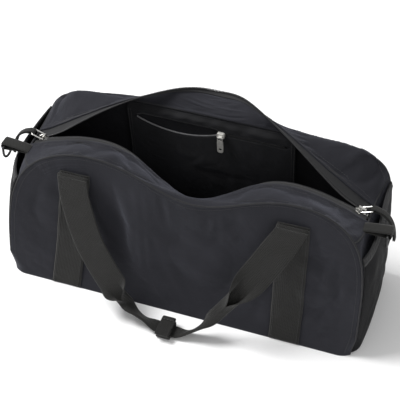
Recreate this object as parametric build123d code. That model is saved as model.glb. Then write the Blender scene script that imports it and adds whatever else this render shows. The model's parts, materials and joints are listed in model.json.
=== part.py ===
from build123d import *
import os
from math import asin, cos, degrees, exp, pi, radians, sin, sqrt
import numpy as np

# A soft canvas holdall standing on its base with its long main zip fully open.
# Millimetres. +X is the bag's right end, -Y its front, +Z up.
# The origin is the middle of the base, on the floor.

os.makedirs("parts", exist_ok=True)

# ---- Driving dimensions ----
half_length = 235.0        # middle of the bag to the seam at either end, at the floor
depth = 165.0              # front seam to back seam, at the floor
front_height = 214.0       # floor to the top of the arched front panel, before it slumps
back_height = 222.0        # the back panel stands straighter
panel_lean = 0.13          # how far the panels lean inwards for each mm of height
front_shoulders = (3.9, 5.0)     # superellipse powers of the arches' left and right shoulders
back_shoulders = (6.0, 9.0)
front_sag = 34.0           # how far the front panel's top edge has slumped
front_sag_x = 15.0         # where the slump is deepest
front_sag_width = 85.0
canvas = 1.6               # canvas with its lining
gap = 0.6                  # clearance between neighbouring pieces
seam_radius = 1.6          # bound seams are a thin cord all round each panel
webbing_width = 40.0
webbing = 1.6              # webbing thickness
zip_half = 208.0           # middle of the bag to the middle of either parked slider
zip_radius = 520.0         # the closed zip is an arc over the bag
zip_top = 212.0            # height of the closed zip's middle
lip_clear = 1.8            # each lip's edge to the middle of the closed zip
cross_front_z = 174.0      # where the top strips meet the end panels, at the front seam
cross_back_z = 184.0       # and at the back seam
cross_seam_x = 222.0       # the same seam at the middle of the bag's depth
cross_seam_dip = 10.0      # how much it sinks at the middle, where the zip ends
floor_bulge = 3.0          # how far the end panels stand out at the floor
end_belly = 9.0            # and how much further half way up
hinge_z = 186.0            # line about which each zip lip folds, near the side seams
front_hinge_y = -52.0
back_hinge_y = 56.0
front_fold = radians(90)   # how far the front lip has fallen into the bag at its middle
front_fold_width = 80.0    # and how wide that fall is
front_lift = radians(12)   # how far the front lip stands proud of closed near its ends
back_fold = radians(104)   # how far the back lip stands up and back at its middle
back_peak = 0.173          # share of that fold that is a narrow peak in the middle
back_peak_width = 48.0
handle_fold_z = 178.0      # height of the handles' folds above the floor


# ---- Shapes that several pieces share ----
def along(a, b, u):
    """The point a share u of the way from a to b."""
    return a + (b - a) * u


def ease(u):
    """0 to 1 with a soft start and end."""
    u = min(max(u, 0.0), 1.0)
    return u * u * (3 - 2 * u)


def arch(side, front):
    """Height and superellipse power of a panel's arch, for its left or right half."""
    shoulders = front_shoulders if front else back_shoulders
    return (front_height if front else back_height), shoulders[1 if side > 0 else 0]


def outline_x(z, side, front):
    """Distance from the middle to the side seam at height z."""
    height, power = arch(side, front)
    return half_length * (1 - (z / height) ** power) ** (1 / power)


def outline(angle, front):
    """A point (x, z) on the seam round the front or back panel; 0 is the right foot, pi the left."""
    height, power = arch(cos(angle), front)
    reach = (abs(cos(angle)) ** power + abs(sin(angle)) ** power) ** (-1 / power)
    x, z = half_length * reach * cos(angle), height * reach * sin(angle)
    if front:
        slump = exp(-(((x - front_sag_x) / front_sag_width) ** 2))
        z -= front_sag * slump * (z / height) ** 6
    return x, z


def panel_y(z, front):
    """The leaning plane of the front or back panel."""
    y = depth / 2 - panel_lean * z
    return -y if front else y


def seam_points(front, low, count):
    """Evenly spread points along the arched seam, right to left, both ends at height low."""
    flat = np.array([outline(angle, front) for angle in np.linspace(0, pi, 1201)])
    steps = np.hypot(*np.diff(flat, axis=0).T)
    run = np.concatenate(([0], np.cumsum(steps)))
    above = np.flatnonzero(flat[:, 1] > low)
    rise = slice(above[0] - 1, above[0] + 1)
    fall = slice(above[-1], above[-1] + 2)
    start = np.interp(low, flat[rise, 1], run[rise])
    end = np.interp(-low, -flat[fall, 1], run[fall])
    even = np.linspace(start, end, count)
    x = np.interp(even, run, flat[:, 0])
    z = np.interp(even, run, flat[:, 1])
    return [np.array([a, panel_y(b, front), b]) for a, b in zip(x, z)]


def end_x(z, side, v):
    """Half length of the bag at height z, between the front seam (v 0) and the back seam (v 1)."""
    return along(outline_x(z, side, True), outline_x(z, side, False), v)


def cross_z(v):
    """Height of the seam between an end panel and the top strips."""
    return along(cross_front_z, cross_back_z, v) - cross_seam_dip * 4 * v * (1 - v)


def cross_seam(side, v):
    """The seam between an end panel and the top strips; v is 0 at the front seam, 1 at the back."""
    z = cross_z(v)
    x = along(end_x(z, side, v), cross_seam_x, 4 * v * (1 - v))
    return np.array([side * x, (2 * v - 1) * panel_y(z, False), z])


def end_point(z, v, side, gape=0.0):
    """A point on an end panel at height z; v runs from the front seam to the back seam."""
    top = cross_z(v)
    lift = (z / top) ** 2
    bulge = along(floor_bulge, cross_seam_x - end_x(top, side, v), lift)
    bulge += end_belly * (1 - lift) * z / top
    x = end_x(z, side, v) + (bulge + gape) * 4 * v * (1 - v)
    return np.array([side * x, (2 * v - 1) * panel_y(z, False), z])


def closed_zip_z(x):
    """Height of the zip's arc when it is closed."""
    return zip_top - zip_radius + sqrt(zip_radius ** 2 - x ** 2)


def fold_angle(x, front):
    """How far a lip is folded open at x, in radians from closed."""
    u = min(abs(x) / zip_half, 1)
    if front:
        return (front_fold * exp(-((x / front_fold_width) ** 2))
                - front_lift * u ** 2 * (1 - u ** 6))
    soft = 0.12
    tent = (1 - sqrt((u ** 2 + soft ** 2) / (1 + soft ** 2))) / (1 - soft / sqrt(1 + soft ** 2))
    peak = exp(-((x / back_peak_width) ** 2))
    return back_fold * along(tent, peak, back_peak)


def turned(y, z, angle):
    return y * cos(angle) - z * sin(angle), y * sin(angle) + z * cos(angle)


def lip_point(x, front):
    """The open zip lip at x: the closed zip turned about the lip's hinge line."""
    hinge_y = front_hinge_y if front else back_hinge_y
    edge = -lip_clear if front else lip_clear
    y, z = turned(edge - hinge_y, closed_zip_z(x) - hinge_z, -fold_angle(x, front))
    return np.array([x, hinge_y + y, hinge_z + z])


strip_seams = {
    True: seam_points(True, cross_front_z, 101),
    False: seam_points(False, cross_back_z, 101),
}
puff = {True: (0.7, 0.6, 0.3), False: (0.0, 1.0, 0.56)}    # how each strip rises off its seam


def strip_curve(q, s, front):
    """A top strip's own curve: q runs -1 to 1 along the bag, s from the side seam to the zip lip."""
    row = strip_seams[front]
    place = (1 - q) / 2 * (len(row) - 1)
    first = min(int(place), len(row) - 2)
    seam = along(row[first], row[first + 1], place - first)
    lip = lip_point(q * cross_seam_x, front)
    sign = 1 if front else -1
    inwards, upwards, stretch = puff[front]
    back_y, back_z = turned(-sign, 0, -fold_angle(q * cross_seam_x, front))
    span = np.linalg.norm(lip - seam)
    one = seam + np.array([0, inwards * sign, upwards]) * stretch * span
    two = lip + np.array([0, back_y, back_z]) * 0.34 * span
    return ((1 - s) ** 3 * seam + 3 * (1 - s) ** 2 * s * one
            + 3 * (1 - s) * s ** 2 * two + s ** 3 * lip)


def strip_point(q, s, front):
    """The strip's curve, led into the cross seam near either end of the bag."""
    side = 1 if q > 0 else -1
    share = s * (0.5 - lip_clear / (2 * panel_y(cross_front_z, False)))
    rim = cross_seam(side, share if front else 1 - share)
    lead = ease((abs(q) - 0.8) / 0.2)
    return strip_curve(q, s, front) + (rim - strip_curve(side, s, front)) * lead


# ---- Solid builders ----
def sheet(point, us, vs, thickness, offset=0.0):
    """A thin closed solid on the surface point(u, v), shifted by offset along its normal."""
    grid = np.array([[point(u, v) for v in vs] for u in us])
    normal = np.cross(np.gradient(grid, axis=0), np.gradient(grid, axis=1))
    normal /= np.linalg.norm(normal, axis=2, keepdims=True)
    upper, lower = [
        Face.make_surface_from_array_of_points(
            [[Vector(*p) for p in row] for row in grid + normal * (offset + level)])
        for level in (thickness / 2, -thickness / 2)
    ]
    rims = [Face.make_surface_from_curves(a, b) for a, b in zip(upper.edges(), lower.edges())]
    return Solid(Shell([upper, lower] + rims))


def cord(points, radius):
    """A round cord through a run of points."""
    path = Edge.make_spline([Vector(*p) for p in points])
    profile = Plane(origin=path @ 0, z_dir=path % 0) * Circle(radius)
    return sweep(profile, path=path)


def left_of(shape):
    """The same piece for the other end of the bag."""
    return mirror(shape, about=Plane.YZ)


def back_of(shape):
    """The same piece for the other face of the bag."""
    return mirror(shape, about=Plane.XZ)


def leaning_plane(front):
    """The panel's own plane: local x is X, local y climbs the panel, z points out of the bag."""
    sign = -1 if front else 1
    normal = Vector(0, sign, panel_lean)
    x_dir = (1, 0, 0) if front else (-1, 0, 0)
    return Plane(origin=(0, sign * depth / 2, 0), x_dir=x_dir, z_dir=normal)


climb = sqrt(1 + panel_lean ** 2)   # mm along a leaning panel for each mm of height


# ---- Panels ----
def panel(front):
    """A flat arched panel that stops short of the seam cord all round."""
    inset = seam_radius + gap
    seam = np.array([(x, z * climb) for x, _, z in seam_points(front, inset + 2, 61)])
    way = np.gradient(seam, axis=0)
    way /= np.linalg.norm(way, axis=1, keepdims=True)
    inner = seam + np.column_stack((-way[:, 1], way[:, 0])) * inset
    if not front:
        inner = (inner * (-1, 1))[::-1]
    curve = Edge.make_spline([Vector(a, b, 0) for a, b in inner])
    face = Face(Wire([curve, Edge.make_line(curve @ 1, curve @ 0)]))
    flat = extrude(face, amount=canvas / 2, dir=(0, 0, 1), both=True)
    return leaning_plane(front) * flat


def bottom_panel():
    inset = seam_radius + 3 * gap
    corner = 12.0
    length, width = 2 * (half_length - inset), depth - 2 * inset
    plate = Box(length, width, canvas, align=(Align.CENTER, Align.CENTER, Align.MIN))
    return fillet(plate.edges().filter_by(Axis.Z), corner)


def base_board():
    """A stiff sheet that lies loose inside on the base."""
    board, margin, corner = 3.0, 14.0, 20.0
    plate = Box(2 * (half_length - margin), depth - 2 * margin, board,
                align=(Align.CENTER, Align.CENTER, Align.MIN))
    plate = fillet(plate.edges().filter_by(Axis.Z), corner)
    return Pos(0, 0, canvas + gap / 2) * plate


def end_panel(side):
    inset = (seam_radius + gap + canvas / 4) / depth
    us = np.linspace(2 * canvas, cross_front_z - 2 * canvas, 12)
    vs = np.linspace(inset, 1 - inset, 9)
    return sheet(lambda u, v: end_point(u * cross_z(v) / cross_front_z, v, side), us, vs, canvas)


strip_end = 0.98         # shares of a strip's length and width that its canvas covers
strip_foot = 0.075
strip_edge = 0.8


def top_strip(front):
    us = np.linspace(-strip_end, strip_end, 37)
    vs = np.linspace(strip_foot, strip_edge, 7)
    return sheet(lambda q, s: strip_point(q, s, front), us, vs, canvas)


# ---- Seams ----
end_inset = 0.035        # share of the bag's depth that the seams take at either side


def seam_cord(front):
    return cord(seam_points(front, seam_radius + gap / 3, 29), seam_radius)


def cross_cord(side):
    vs = np.linspace(end_inset, 1 - end_inset, 9)
    return cord([cross_seam(side, v) for v in vs], seam_radius * 0.8)


# ---- Main zip ----
teeth_radius = 1.5
teeth_end = (zip_half - 9) / cross_seam_x    # the rows stop where they enter the sliders
tape = 0.9
tape_level = 1.8     # the tape is sewn under the strip's edge, this far below it
zip_tilt = degrees(asin(zip_half / zip_radius))    # slope of the closed zip at a parked slider


def zip_tape(front):
    us = np.linspace(-teeth_end, teeth_end, 33)
    vs = np.linspace(0.7, 0.95, 4)
    level = -tape_level if front else tape_level
    return sheet(lambda q, s: strip_point(q, s, front), us, vs, tape, level)


def zip_teeth(front):
    """One row of teeth, a cord along the tape's free edge."""
    level = -tape_level if front else tape_level
    points = []
    for q in np.linspace(-teeth_end, teeth_end, 33):
        edge, inner = strip_point(q, 0.985, front), strip_point(q, 0.96, front)
        y, z = (edge - inner)[1:] / np.linalg.norm((edge - inner)[1:])
        points.append(edge + level * np.array([0, z, -y]))
    return cord(points, teeth_radius)


def zip_end(side):
    """The tape's end with its metal stop, sewn into the cross seam."""
    stop = Box(5, 12, 1.2) + Pos(-side * 0.6, 0, 1.2) * Box(3, 6, 2.2)
    place = Pos(side * (zip_half + 10.2), 0, closed_zip_z(zip_half) - 4.6)
    return place * Rot(0, side * zip_tilt, 0) * stop


slider_length = 14.0
slider_width = 11.0
slider_plate = 2.0
slider_throat = 3.4          # gap between the plates where the teeth run
plate_z = (slider_throat + slider_plate) / 2
crown_z = slider_throat / 2 + slider_plate - 0.2     # the crown is let into the upper plate
crown_height = 5.2
crown_bar = 2.2
crown_width = 3.4
crown_foot_x = 3.9
bail_pin = 1.1               # radius of the bail where it passes under the crown


def on_slider(shape, side):
    """Place a shape drawn at the parked slider: x outwards along the zip, z out of the bag."""
    placed = Pos(zip_half, 0, closed_zip_z(zip_half)) * Rot(0, zip_tilt, 0) * shape
    return placed if side > 0 else left_of(placed)


def slider_body():
    """Two plates joined by a wedge, with a bridge on top for the bail."""
    plate = Box(slider_length, slider_width, slider_plate)
    plate = fillet(plate.edges().filter_by(Axis.Z), 3)
    wedge = Pos(slider_length / 2 - 2.2, 0, 0) * Box(3.6, 1.6, slider_throat + slider_plate)
    foot = Box(crown_bar, crown_width, crown_height, align=(Align.CENTER, Align.CENTER, Align.MIN))
    bridge = Box(2 * crown_foot_x + crown_bar, crown_width, crown_bar,
                 align=(Align.CENTER, Align.CENTER, Align.MAX))
    crown = Pos(0, 0, crown_height) * bridge
    crown += Pos(-crown_foot_x, 0, 0) * foot + Pos(crown_foot_x, 0, 0) * foot
    return Pos(0, 0, plate_z) * plate + Pos(0, 0, -plate_z) * plate + wedge + Pos(0, 0, crown_z) * crown


bail_eye_z = crown_z + (crown_height - crown_bar) / 2
bail_length = 15.0
bail_half = 5.2
bail_lift = 44.0             # the bail stands up by this much from the slider, in degrees


def bail():
    """A wire frame that hangs in the crown and carries the webbing pull."""
    corners = [(0, -bail_half), (bail_length, -bail_half), (bail_length, bail_half), (0, bail_half)]
    wire = Polyline(*[(x, y, 0) for x, y in corners], close=True)
    frame = fillet(wire.vertices(), 2.0)
    ring = sweep(Plane(origin=frame @ 0, z_dir=frame % 0) * Circle(bail_pin), path=frame)
    return Pos(0, 0, bail_eye_z) * Rot(0, -bail_lift, 0) * ring


pull_width = 8.0
pull_length = 44.0
pull_eye = 3.3              # outer radius of the eye round the bail
pull_droop = 3.0            # the loop slopes down by this much from the slider, in degrees


def pull_loop():
    """A webbing loop through the bail, its two layers sewn together at the square tail."""
    eye = Cylinder(pull_eye, pull_width, rotation=(90, 0, 0))
    hole = Cylinder(pull_eye - webbing, pull_width + 1, rotation=(90, 0, 0))
    tail = Pos(pull_eye - 0.4, 0, 0) * Box(
        pull_length, pull_width, 2 * webbing, align=(Align.MIN, Align.CENTER, Align.CENTER))
    tip = Pos(pull_length - 5, 0, 0) * Box(9, pull_width + 2.4, 3 * webbing)
    loop = eye + tail - hole + tip
    lifted = Pos(0, 0, bail_eye_z) * Rot(0, -bail_lift, 0) * Pos(bail_length, 0, 0)
    return lifted * Rot(0, bail_lift + pull_droop, 0) * loop


# ---- End rings ----
ring_y = -26.0
ring_wire = 1.6
ring_half = 11.0
ring_drop = 19.0
ring_bar_x = 250.0
ring_bar_z = 172.0
tab_eye = 3.6               # inner radius of the tab's loop
tab_width = 16.0
tab_root = 0.28             # where along the cross seam the tab is sewn in


def ring_tab(side):
    """A webbing tab from the cross seam, looped round the ring's bar."""
    eye = (Cylinder(tab_eye + webbing, tab_width, rotation=(90, 0, 0))
           - Cylinder(tab_eye, tab_width + 1, rotation=(90, 0, 0)))
    reach = ring_bar_x - cross_seam(1, tab_root)[0] - tab_eye - 1.0
    arm = Box(reach, tab_width, 2 * webbing, align=(Align.MAX, Align.CENTER, Align.CENTER))
    tab = eye + Pos(-tab_eye - webbing / 2, 0, webbing) * arm
    tab = Pos(ring_bar_x, ring_y, ring_bar_z) * tab
    return tab if side > 0 else left_of(tab)


def d_ring(side):
    """A plastic D: a straight bar in the tab and a bow that hangs below it."""
    half, drop = ring_half, ring_drop
    corner = 1.8
    bar = Edge.make_line((0, -half, 0), (0, half, 0))
    down = Edge.make_line((0, half, 0), (0, half, -drop + half))
    bow = Edge.make_three_point_arc((0, half, -drop + half), (0, 0, -drop), (0, -half, -drop + half))
    rise = Edge.make_line((0, -half, -drop + half), (0, -half, 0))
    path = fillet(Wire([bar, down, bow, rise]).vertices(), corner)
    ring = sweep(Plane(origin=path @ 0, z_dir=path % 0) * Circle(ring_wire), path=path)
    ring = Pos(ring_bar_x, ring_y, ring_bar_z) * ring
    return ring if side > 0 else left_of(ring)


# ---- End pockets ----
hem_front_z = 152.0
hem_back_z = 178.0
hem_share = 0.064           # share of the pocket's height that its binding takes
hem = 2.2                   # thickness of the folded binding
pocket_gape = 6.0           # how much further the pocket's mouth stands out than its foot
pocket_off = 1.6            # clearance outwards from the end panel
mesh = 0.9


def pocket_point(u, v, side):
    """The mesh pocket hangs outside the end panel and gapes towards its hem; u is 0 to 1 upwards."""
    top = along(hem_front_z, hem_back_z, v)
    z = along(4.0, top, u)
    gape = 2.6 + pocket_gape * u ** 2
    point = end_point(z, v, side, gape)
    point[0] += side * pocket_off
    return point


def mesh_pocket(side):
    us = np.linspace(0, 1 - hem_share - 0.006, 12)
    vs = np.linspace(end_inset, 1 - end_inset, 9)
    return sheet(lambda u, v: pocket_point(u, v, side), us, vs, mesh)


def pocket_hem(side):
    """Elastic binding along the pocket's top edge."""
    us = np.linspace(1 - hem_share, 1, 4)
    vs = np.linspace(end_inset, 1 - end_inset, 9)
    return sheet(lambda u, v: pocket_point(u, v, side), us, vs, hem)


# ---- Sewn webbing and handles ----
leg_foot_x = {"left": -155.0, "right": 145.0}
leg_top_x = {"left": -140.0, "right": 142.0}
leg_out = canvas / 2 + 0.4 + webbing / 2


def sewn_webbing(which):
    """Webbing sewn flat up the front panel, from the bottom seam to the handle's fold."""
    foot, top = leg_foot_x[which], leg_top_x[which]
    low, high = 4.0 * climb, (handle_fold_z - 1.5) * climb
    half = webbing_width / 2
    face = make_face(Polyline((foot - half, low), (foot + half, low),
                              (top + half, high), (top - half, high), close=True))
    plate = extrude(face, amount=webbing / 2, dir=(0, 0, 1), both=True)
    return leaning_plane(True) * Pos(0, 0, leg_out) * plate


handle_plane_y = -66.0     # the handle's fold stands just clear of the sewn webbing
grip_y = -118.0            # the slack handle lies on the floor this far in front
grip_z = 5.2
grip_width = 21.0
grip_thickness = 4.4       # the grip is the webbing folded double
handle_lean = (handle_plane_y - grip_y) / (handle_fold_z - grip_z)
handle_curve = [(-140, 177), (-133, 146), (-111, 95), (-73, 45), (-38, 15), (0, grip_z),
                (30, 9), (60, 40), (101, 100), (128, 148), (142, 177)]


def handle_path(u):
    """The webbing's middle from the left fold to the right fold."""
    curve = Edge.make_spline([Vector(x, 0, z) for x, z in handle_curve])
    point, way = curve @ u, curve % u
    y = handle_plane_y - (handle_fold_z - point.Z) * handle_lean
    return np.array([point.X, y, point.Z]), np.array([way.X, way.Z * handle_lean, way.Z])


def handle():
    """One strap: flat at both folds, twisting to lie on the floor where it is folded double."""
    stations = np.linspace(0, 1, 33)
    sections = []
    for u in stations:
        middle, way = handle_path(u)
        way /= np.linalg.norm(way)
        flat = 1 - ease(abs(u - 0.49) / 0.17)
        edge_free = ease(min(u, 1 - u) / 0.12)
        in_plane = np.cross(np.array([0, 1, -handle_lean]), way)
        at_fold = np.array([-1.0 if u < 0.5 else 1.0, 0, 0])
        across = along(at_fold, in_plane / np.linalg.norm(in_plane), edge_free)
        across = along(across, np.array([0, -1.0, 0]), flat)
        across -= way * (across @ way) * edge_free
        across /= np.linalg.norm(across)
        half = along(webbing_width, grip_width, ease(flat * 1.3)) / 2
        thick = along(webbing, grip_thickness, ease(flat * 1.3)) / 2
        out = np.cross(way, across)
        out /= np.linalg.norm(out)
        corners = [middle + across * a * half + out * b * thick
                   for a, b in ((-1, -1), (1, -1), (1, 1), (-1, 1))]
        sections.append(Wire.make_polygon([Vector(*c) for c in corners], close=True))
    return Solid.make_loft(sections)


keeper_length = 18.0
keeper_wall = 1.5
keeper_inner_width = grip_width + 3.4
keeper_inner_height = grip_thickness + 2.3


def keeper_sleeve():
    """A short webbing sleeve sewn round the grip."""
    outer = Box(keeper_length, sleeve_width, keeper_inner_height + 2 * keeper_wall)
    sleeve = outer - Box(keeper_length + 1, keeper_inner_width, keeper_inner_height)
    return Pos(0, grip_y, grip_z) * sleeve


sleeve_top = grip_z + keeper_inner_height / 2 + keeper_wall
sleeve_width = keeper_inner_width + 2 * keeper_wall
patch = 1.0
patch_width = 18.0
patch_gap = 0.1


def keeper_patch(level):
    z = sleeve_top + patch_gap + level * (patch + patch_gap)
    block = Box(keeper_length - 4, patch_width, patch, align=(Align.CENTER, Align.CENTER, Align.MIN))
    return Pos(0, grip_y, z) * block


def keeper_flap():
    """The flap that wraps both handles together, closed over the patches."""
    overhang = 2.0
    z = sleeve_top + 2 * (patch + patch_gap) + 2 * patch_gap
    block = Box(keeper_length, sleeve_width + 2 * overhang, webbing,
                align=(Align.CENTER, Align.CENTER, Align.MIN))
    return Pos(0, grip_y - overhang, z) * block


# ---- Inner zip pocket on the back wall ----
pocket_half = 112.0
pocket_low = 62.0
pocket_high = 215.0
pocket_zip_z = 200.0
pocket_zip_half = 100.0
pocket_slider_x = 15.0
pocket_slot = 5.0          # half height of the slot that holds the tapes
pocket_yawn = 15.0         # how far the lower lip of the open stretch has dropped
upper_yawn = 4.5           # and how far the upper one can lift
lining = 1.0               # thickness of the pocket's cloth
panel_in = 5.6             # depths in from the back panel's middle
tape_in = 4.4
teeth_in = 4.9
pouch_in = 2.4
slider_in = 8.0


def pocket_lip(x):
    """Half height of the pocket's opening at x: parted between its left end and the slider."""
    u = (x + pocket_zip_half) / (pocket_zip_half + pocket_slider_x)
    if u <= 0 or u >= 1:
        return 0.0
    return pocket_yawn * sin(pi * u) ** 0.8


def inside_back(shape, depth_in):
    """Place a shape drawn as (x, height, thickness) on the inside of the back panel."""
    plane = leaning_plane(False)
    flipped = Plane(origin=plane.origin, x_dir=(1, 0, 0), z_dir=-plane.z_dir)
    return flipped * Pos(0, 0, depth_in) * shape


def pocket_band(x0, x1, low, high):
    """A flat shape between two height curves, from x0 to x1."""
    xs = np.linspace(x0, x1, 25)
    upper = Edge.make_spline([Vector(x, high(x) * climb, 0) for x in xs])
    lower = Edge.make_spline([Vector(x, low(x) * climb, 0) for x in xs])
    sides = [Edge.make_line(upper @ 1, lower @ 1), Edge.make_line(lower @ 0, upper @ 0)]
    return Face(Wire([upper, lower] + sides))


def plate_of(face, thickness):
    return extrude(face, amount=thickness / 2, dir=(0, 0, 1), both=True)


def pocket_panel():
    """The pocket's front, with a long slot for its zip."""
    face = pocket_band(-pocket_half, pocket_half,
                       lambda x: pocket_low, lambda x: pocket_high)
    slot = pocket_band(-pocket_zip_half - 3, pocket_zip_half + 3,
                       lambda x: pocket_zip_z - pocket_slot - pocket_lip(x),
                       lambda x: pocket_zip_z + pocket_slot + min(pocket_lip(x), upper_yawn))
    return inside_back(plate_of(face, lining) - plate_of(slot, 3 * lining), panel_in)


def pocket_pouch():
    """The pocket's back layer, against the bag's back wall."""
    face = pocket_band(-pocket_half + 2, pocket_half - 2,
                       lambda x: pocket_low + 2, lambda x: pocket_high - 1)
    return inside_back(plate_of(face, lining), pouch_in)


def pocket_tape(sign):
    """One zip tape, sewn behind the slot's edge and parted with it."""
    near, far = 1.4, pocket_slot + 3

    def edge(x, reach):
        parted = pocket_lip(x) if sign < 0 else min(pocket_lip(x), upper_yawn)
        return pocket_zip_z + sign * (reach + parted)
    low, high = (near, far) if sign > 0 else (far, near)
    face = pocket_band(-pocket_zip_half, pocket_zip_half,
                       lambda x: edge(x, low), lambda x: edge(x, high))
    return inside_back(plate_of(face, 0.8 * lining), tape_in)


def pocket_teeth():
    """The closed stretch of the pocket's zip, to the right of its slider."""
    start = pocket_slider_x + 6.5
    run = pocket_zip_half - 2 - start
    bar = Box(run, 2.2 * climb, 2.0, align=(Align.MIN, Align.CENTER, Align.CENTER))
    return inside_back(Pos(start, pocket_zip_z * climb, 0) * bar, teeth_in)


puller_pin = 0.7
puller_pin_z = 4.3         # the puller's pin above the slider's middle


def pocket_slider():
    body = Box(10, 8, 4.6)
    body = fillet(body.edges().filter_by(Axis.Z), 2.5)
    lug = Pos(0, 0, 2.3) * Box(4.6, 2.2, 3.4, align=(Align.CENTER, Align.CENTER, Align.MIN))
    hole = Pos(0, 0, puller_pin_z) * Cylinder(puller_pin + 0.25, 20, rotation=(0, 90, 0))
    place = Pos(pocket_slider_x, pocket_zip_z * climb, 0)
    return inside_back(place * (body + lug - hole), slider_in)


def pocket_puller():
    """A drop shaped metal pull with a round hole, hanging on a small eye."""
    plate = Pos(0, -16, 0) * Box(8, 22, 1.4)
    plate = fillet(plate.edges().filter_by(Axis.Z), 3.5) - Pos(0, -21, 0) * Cylinder(2.2, 4)
    legs = [Pos(side * 3.0, -3.0, 0) * Box(1.2, 6.6, 1.4) for side in (-1, 1)]
    pin = Cylinder(puller_pin, 7.2, rotation=(0, 90, 0))
    pull = plate + legs[0] + legs[1] + pin
    place = Pos(pocket_slider_x, pocket_zip_z * climb, puller_pin_z)
    return inside_back(place * pull, slider_in)


# ---- Every piece by name ----
def pieces():
    yield "front_panel", panel(True)
    yield "back_panel", panel(False)
    yield "bottom_panel", bottom_panel()
    yield "base_board", base_board()
    yield "front_seam_binding", seam_cord(True)
    yield "back_seam_binding", seam_cord(False)
    for face, front in (("front", True), ("back", False)):
        yield f"{face}_top_strip", top_strip(front)
        yield f"{face}_zip_tape", zip_tape(front)
        yield f"{face}_zip_teeth", zip_teeth(front)
    for name, side in (("left", -1), ("right", 1)):
        yield f"{name}_end_panel", end_panel(side)
        yield f"{name}_cross_seam", cross_cord(side)
        yield f"{name}_mesh_pocket", mesh_pocket(side)
        yield f"{name}_pocket_hem", pocket_hem(side)
        yield f"{name}_ring_tab", ring_tab(side)
        yield f"{name}_d_ring", d_ring(side)
        yield f"{name}_zip_end", zip_end(side)
        yield f"{name}_slider", on_slider(slider_body(), side)
        yield f"{name}_bail", on_slider(bail(), side)
        yield f"{name}_pull_loop", on_slider(pull_loop(), side)
        yield f"front_webbing_{name}", sewn_webbing(name)
        yield f"back_webbing_{name}", back_of(sewn_webbing(name))
    yield "front_handle", handle()
    yield "back_handle", back_of(handle())
    yield "handle_keeper", keeper_sleeve()
    yield "keeper_loop_patch", keeper_patch(0)
    yield "keeper_hook_patch", keeper_patch(1)
    yield "keeper_flap", keeper_flap()
    yield "inner_pocket_panel", pocket_panel()
    yield "inner_pocket_pouch", pocket_pouch()
    yield "upper_pocket_tape", pocket_tape(1)
    yield "lower_pocket_tape", pocket_tape(-1)
    yield "pocket_zip_teeth", pocket_teeth()
    yield "pocket_slider", pocket_slider()
    yield "pocket_puller", pocket_puller()


for name, shape in pieces():
    export_step(shape, f"parts/{name}.step")
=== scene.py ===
import json
from math import cos, pi, radians, sin, sqrt
import bpy
import numpy as np
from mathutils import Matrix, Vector
from mathutils.bvhtree import BVHTree


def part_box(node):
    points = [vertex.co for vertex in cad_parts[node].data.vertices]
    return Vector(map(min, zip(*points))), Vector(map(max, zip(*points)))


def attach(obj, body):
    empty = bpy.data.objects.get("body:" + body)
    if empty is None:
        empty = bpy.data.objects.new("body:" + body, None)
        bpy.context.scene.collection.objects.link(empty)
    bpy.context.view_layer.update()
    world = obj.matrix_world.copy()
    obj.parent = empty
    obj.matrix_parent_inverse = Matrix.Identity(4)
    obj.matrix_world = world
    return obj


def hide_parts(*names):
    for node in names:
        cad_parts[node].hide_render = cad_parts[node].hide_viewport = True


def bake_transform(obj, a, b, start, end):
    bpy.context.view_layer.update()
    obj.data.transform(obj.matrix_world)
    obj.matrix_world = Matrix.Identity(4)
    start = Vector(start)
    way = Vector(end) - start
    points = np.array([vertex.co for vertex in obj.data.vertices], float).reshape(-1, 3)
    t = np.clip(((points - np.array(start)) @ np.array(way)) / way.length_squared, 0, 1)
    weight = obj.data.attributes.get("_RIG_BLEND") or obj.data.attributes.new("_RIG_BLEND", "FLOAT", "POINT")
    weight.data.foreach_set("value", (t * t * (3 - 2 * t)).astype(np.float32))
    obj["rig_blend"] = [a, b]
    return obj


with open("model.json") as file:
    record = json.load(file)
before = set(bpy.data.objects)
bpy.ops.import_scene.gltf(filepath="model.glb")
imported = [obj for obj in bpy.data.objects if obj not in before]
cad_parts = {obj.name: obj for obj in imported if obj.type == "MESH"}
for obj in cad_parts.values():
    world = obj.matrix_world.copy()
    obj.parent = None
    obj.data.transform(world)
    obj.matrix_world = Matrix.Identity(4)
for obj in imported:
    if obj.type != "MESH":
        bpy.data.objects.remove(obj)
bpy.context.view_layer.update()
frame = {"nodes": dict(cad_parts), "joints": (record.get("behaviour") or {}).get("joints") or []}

# The open canvas holdall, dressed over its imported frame. Shapes are worked out in millimetres
# in the frame's own axes (+X right end, -Y front, +Z up) and turned into metres in one place.
MM = 0.001
scene = bpy.context.scene


# ---- Sizes read from the frame ----
def box_mm(node):
    low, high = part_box(node)
    return np.array(low) / MM, np.array(high) / MM


joints = {joint["name"]: joint for joint in frame["joints"]}
seam_radius = 1.6
seam_low, seam_high = box_mm("back_seam_binding")
half_length = (seam_high[0] - seam_low[0]) / 2 - seam_radius
back_height = seam_high[2] - seam_radius
front_height = 214.0
panel_lean = 0.13
depth = 2 * (seam_high[1] - seam_radius + panel_lean * seam_radius)
front_hinge = np.array(joints["front_lip_fold"]["pos_m"]) / MM
back_hinge = np.array(joints["back_lip_fold"]["pos_m"]) / MM
front_fold = radians(joints["front_lip_fold"]["range_deg"][1])
back_fold = radians(joints["back_lip_fold"]["range_deg"][1])
zip_radius = 520.0
zip_top = joints["left_zip_run"]["pos_m"][2] / MM + zip_radius
zip_half = 208.0
cross_front_z = 174.0
cross_back_z = 184.0
cross_seam_x = 222.0
cross_seam_dip = 10.0
lip_clear = 1.8
front_shoulders = (3.9, 5.0)
back_shoulders = (6.0, 9.0)
front_fold_width = 80.0
front_lift = radians(12)
back_peak = 0.173
back_peak_width = 48.0
puff = {True: (0.7, 0.6, 0.3), False: (0.0, 1.0, 0.56)}
front_sag = 40.0
front_sag_x = 15.0
front_sag_width = 85.0
canvas_thick = 1.6
webbing_thick = 1.6
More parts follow.
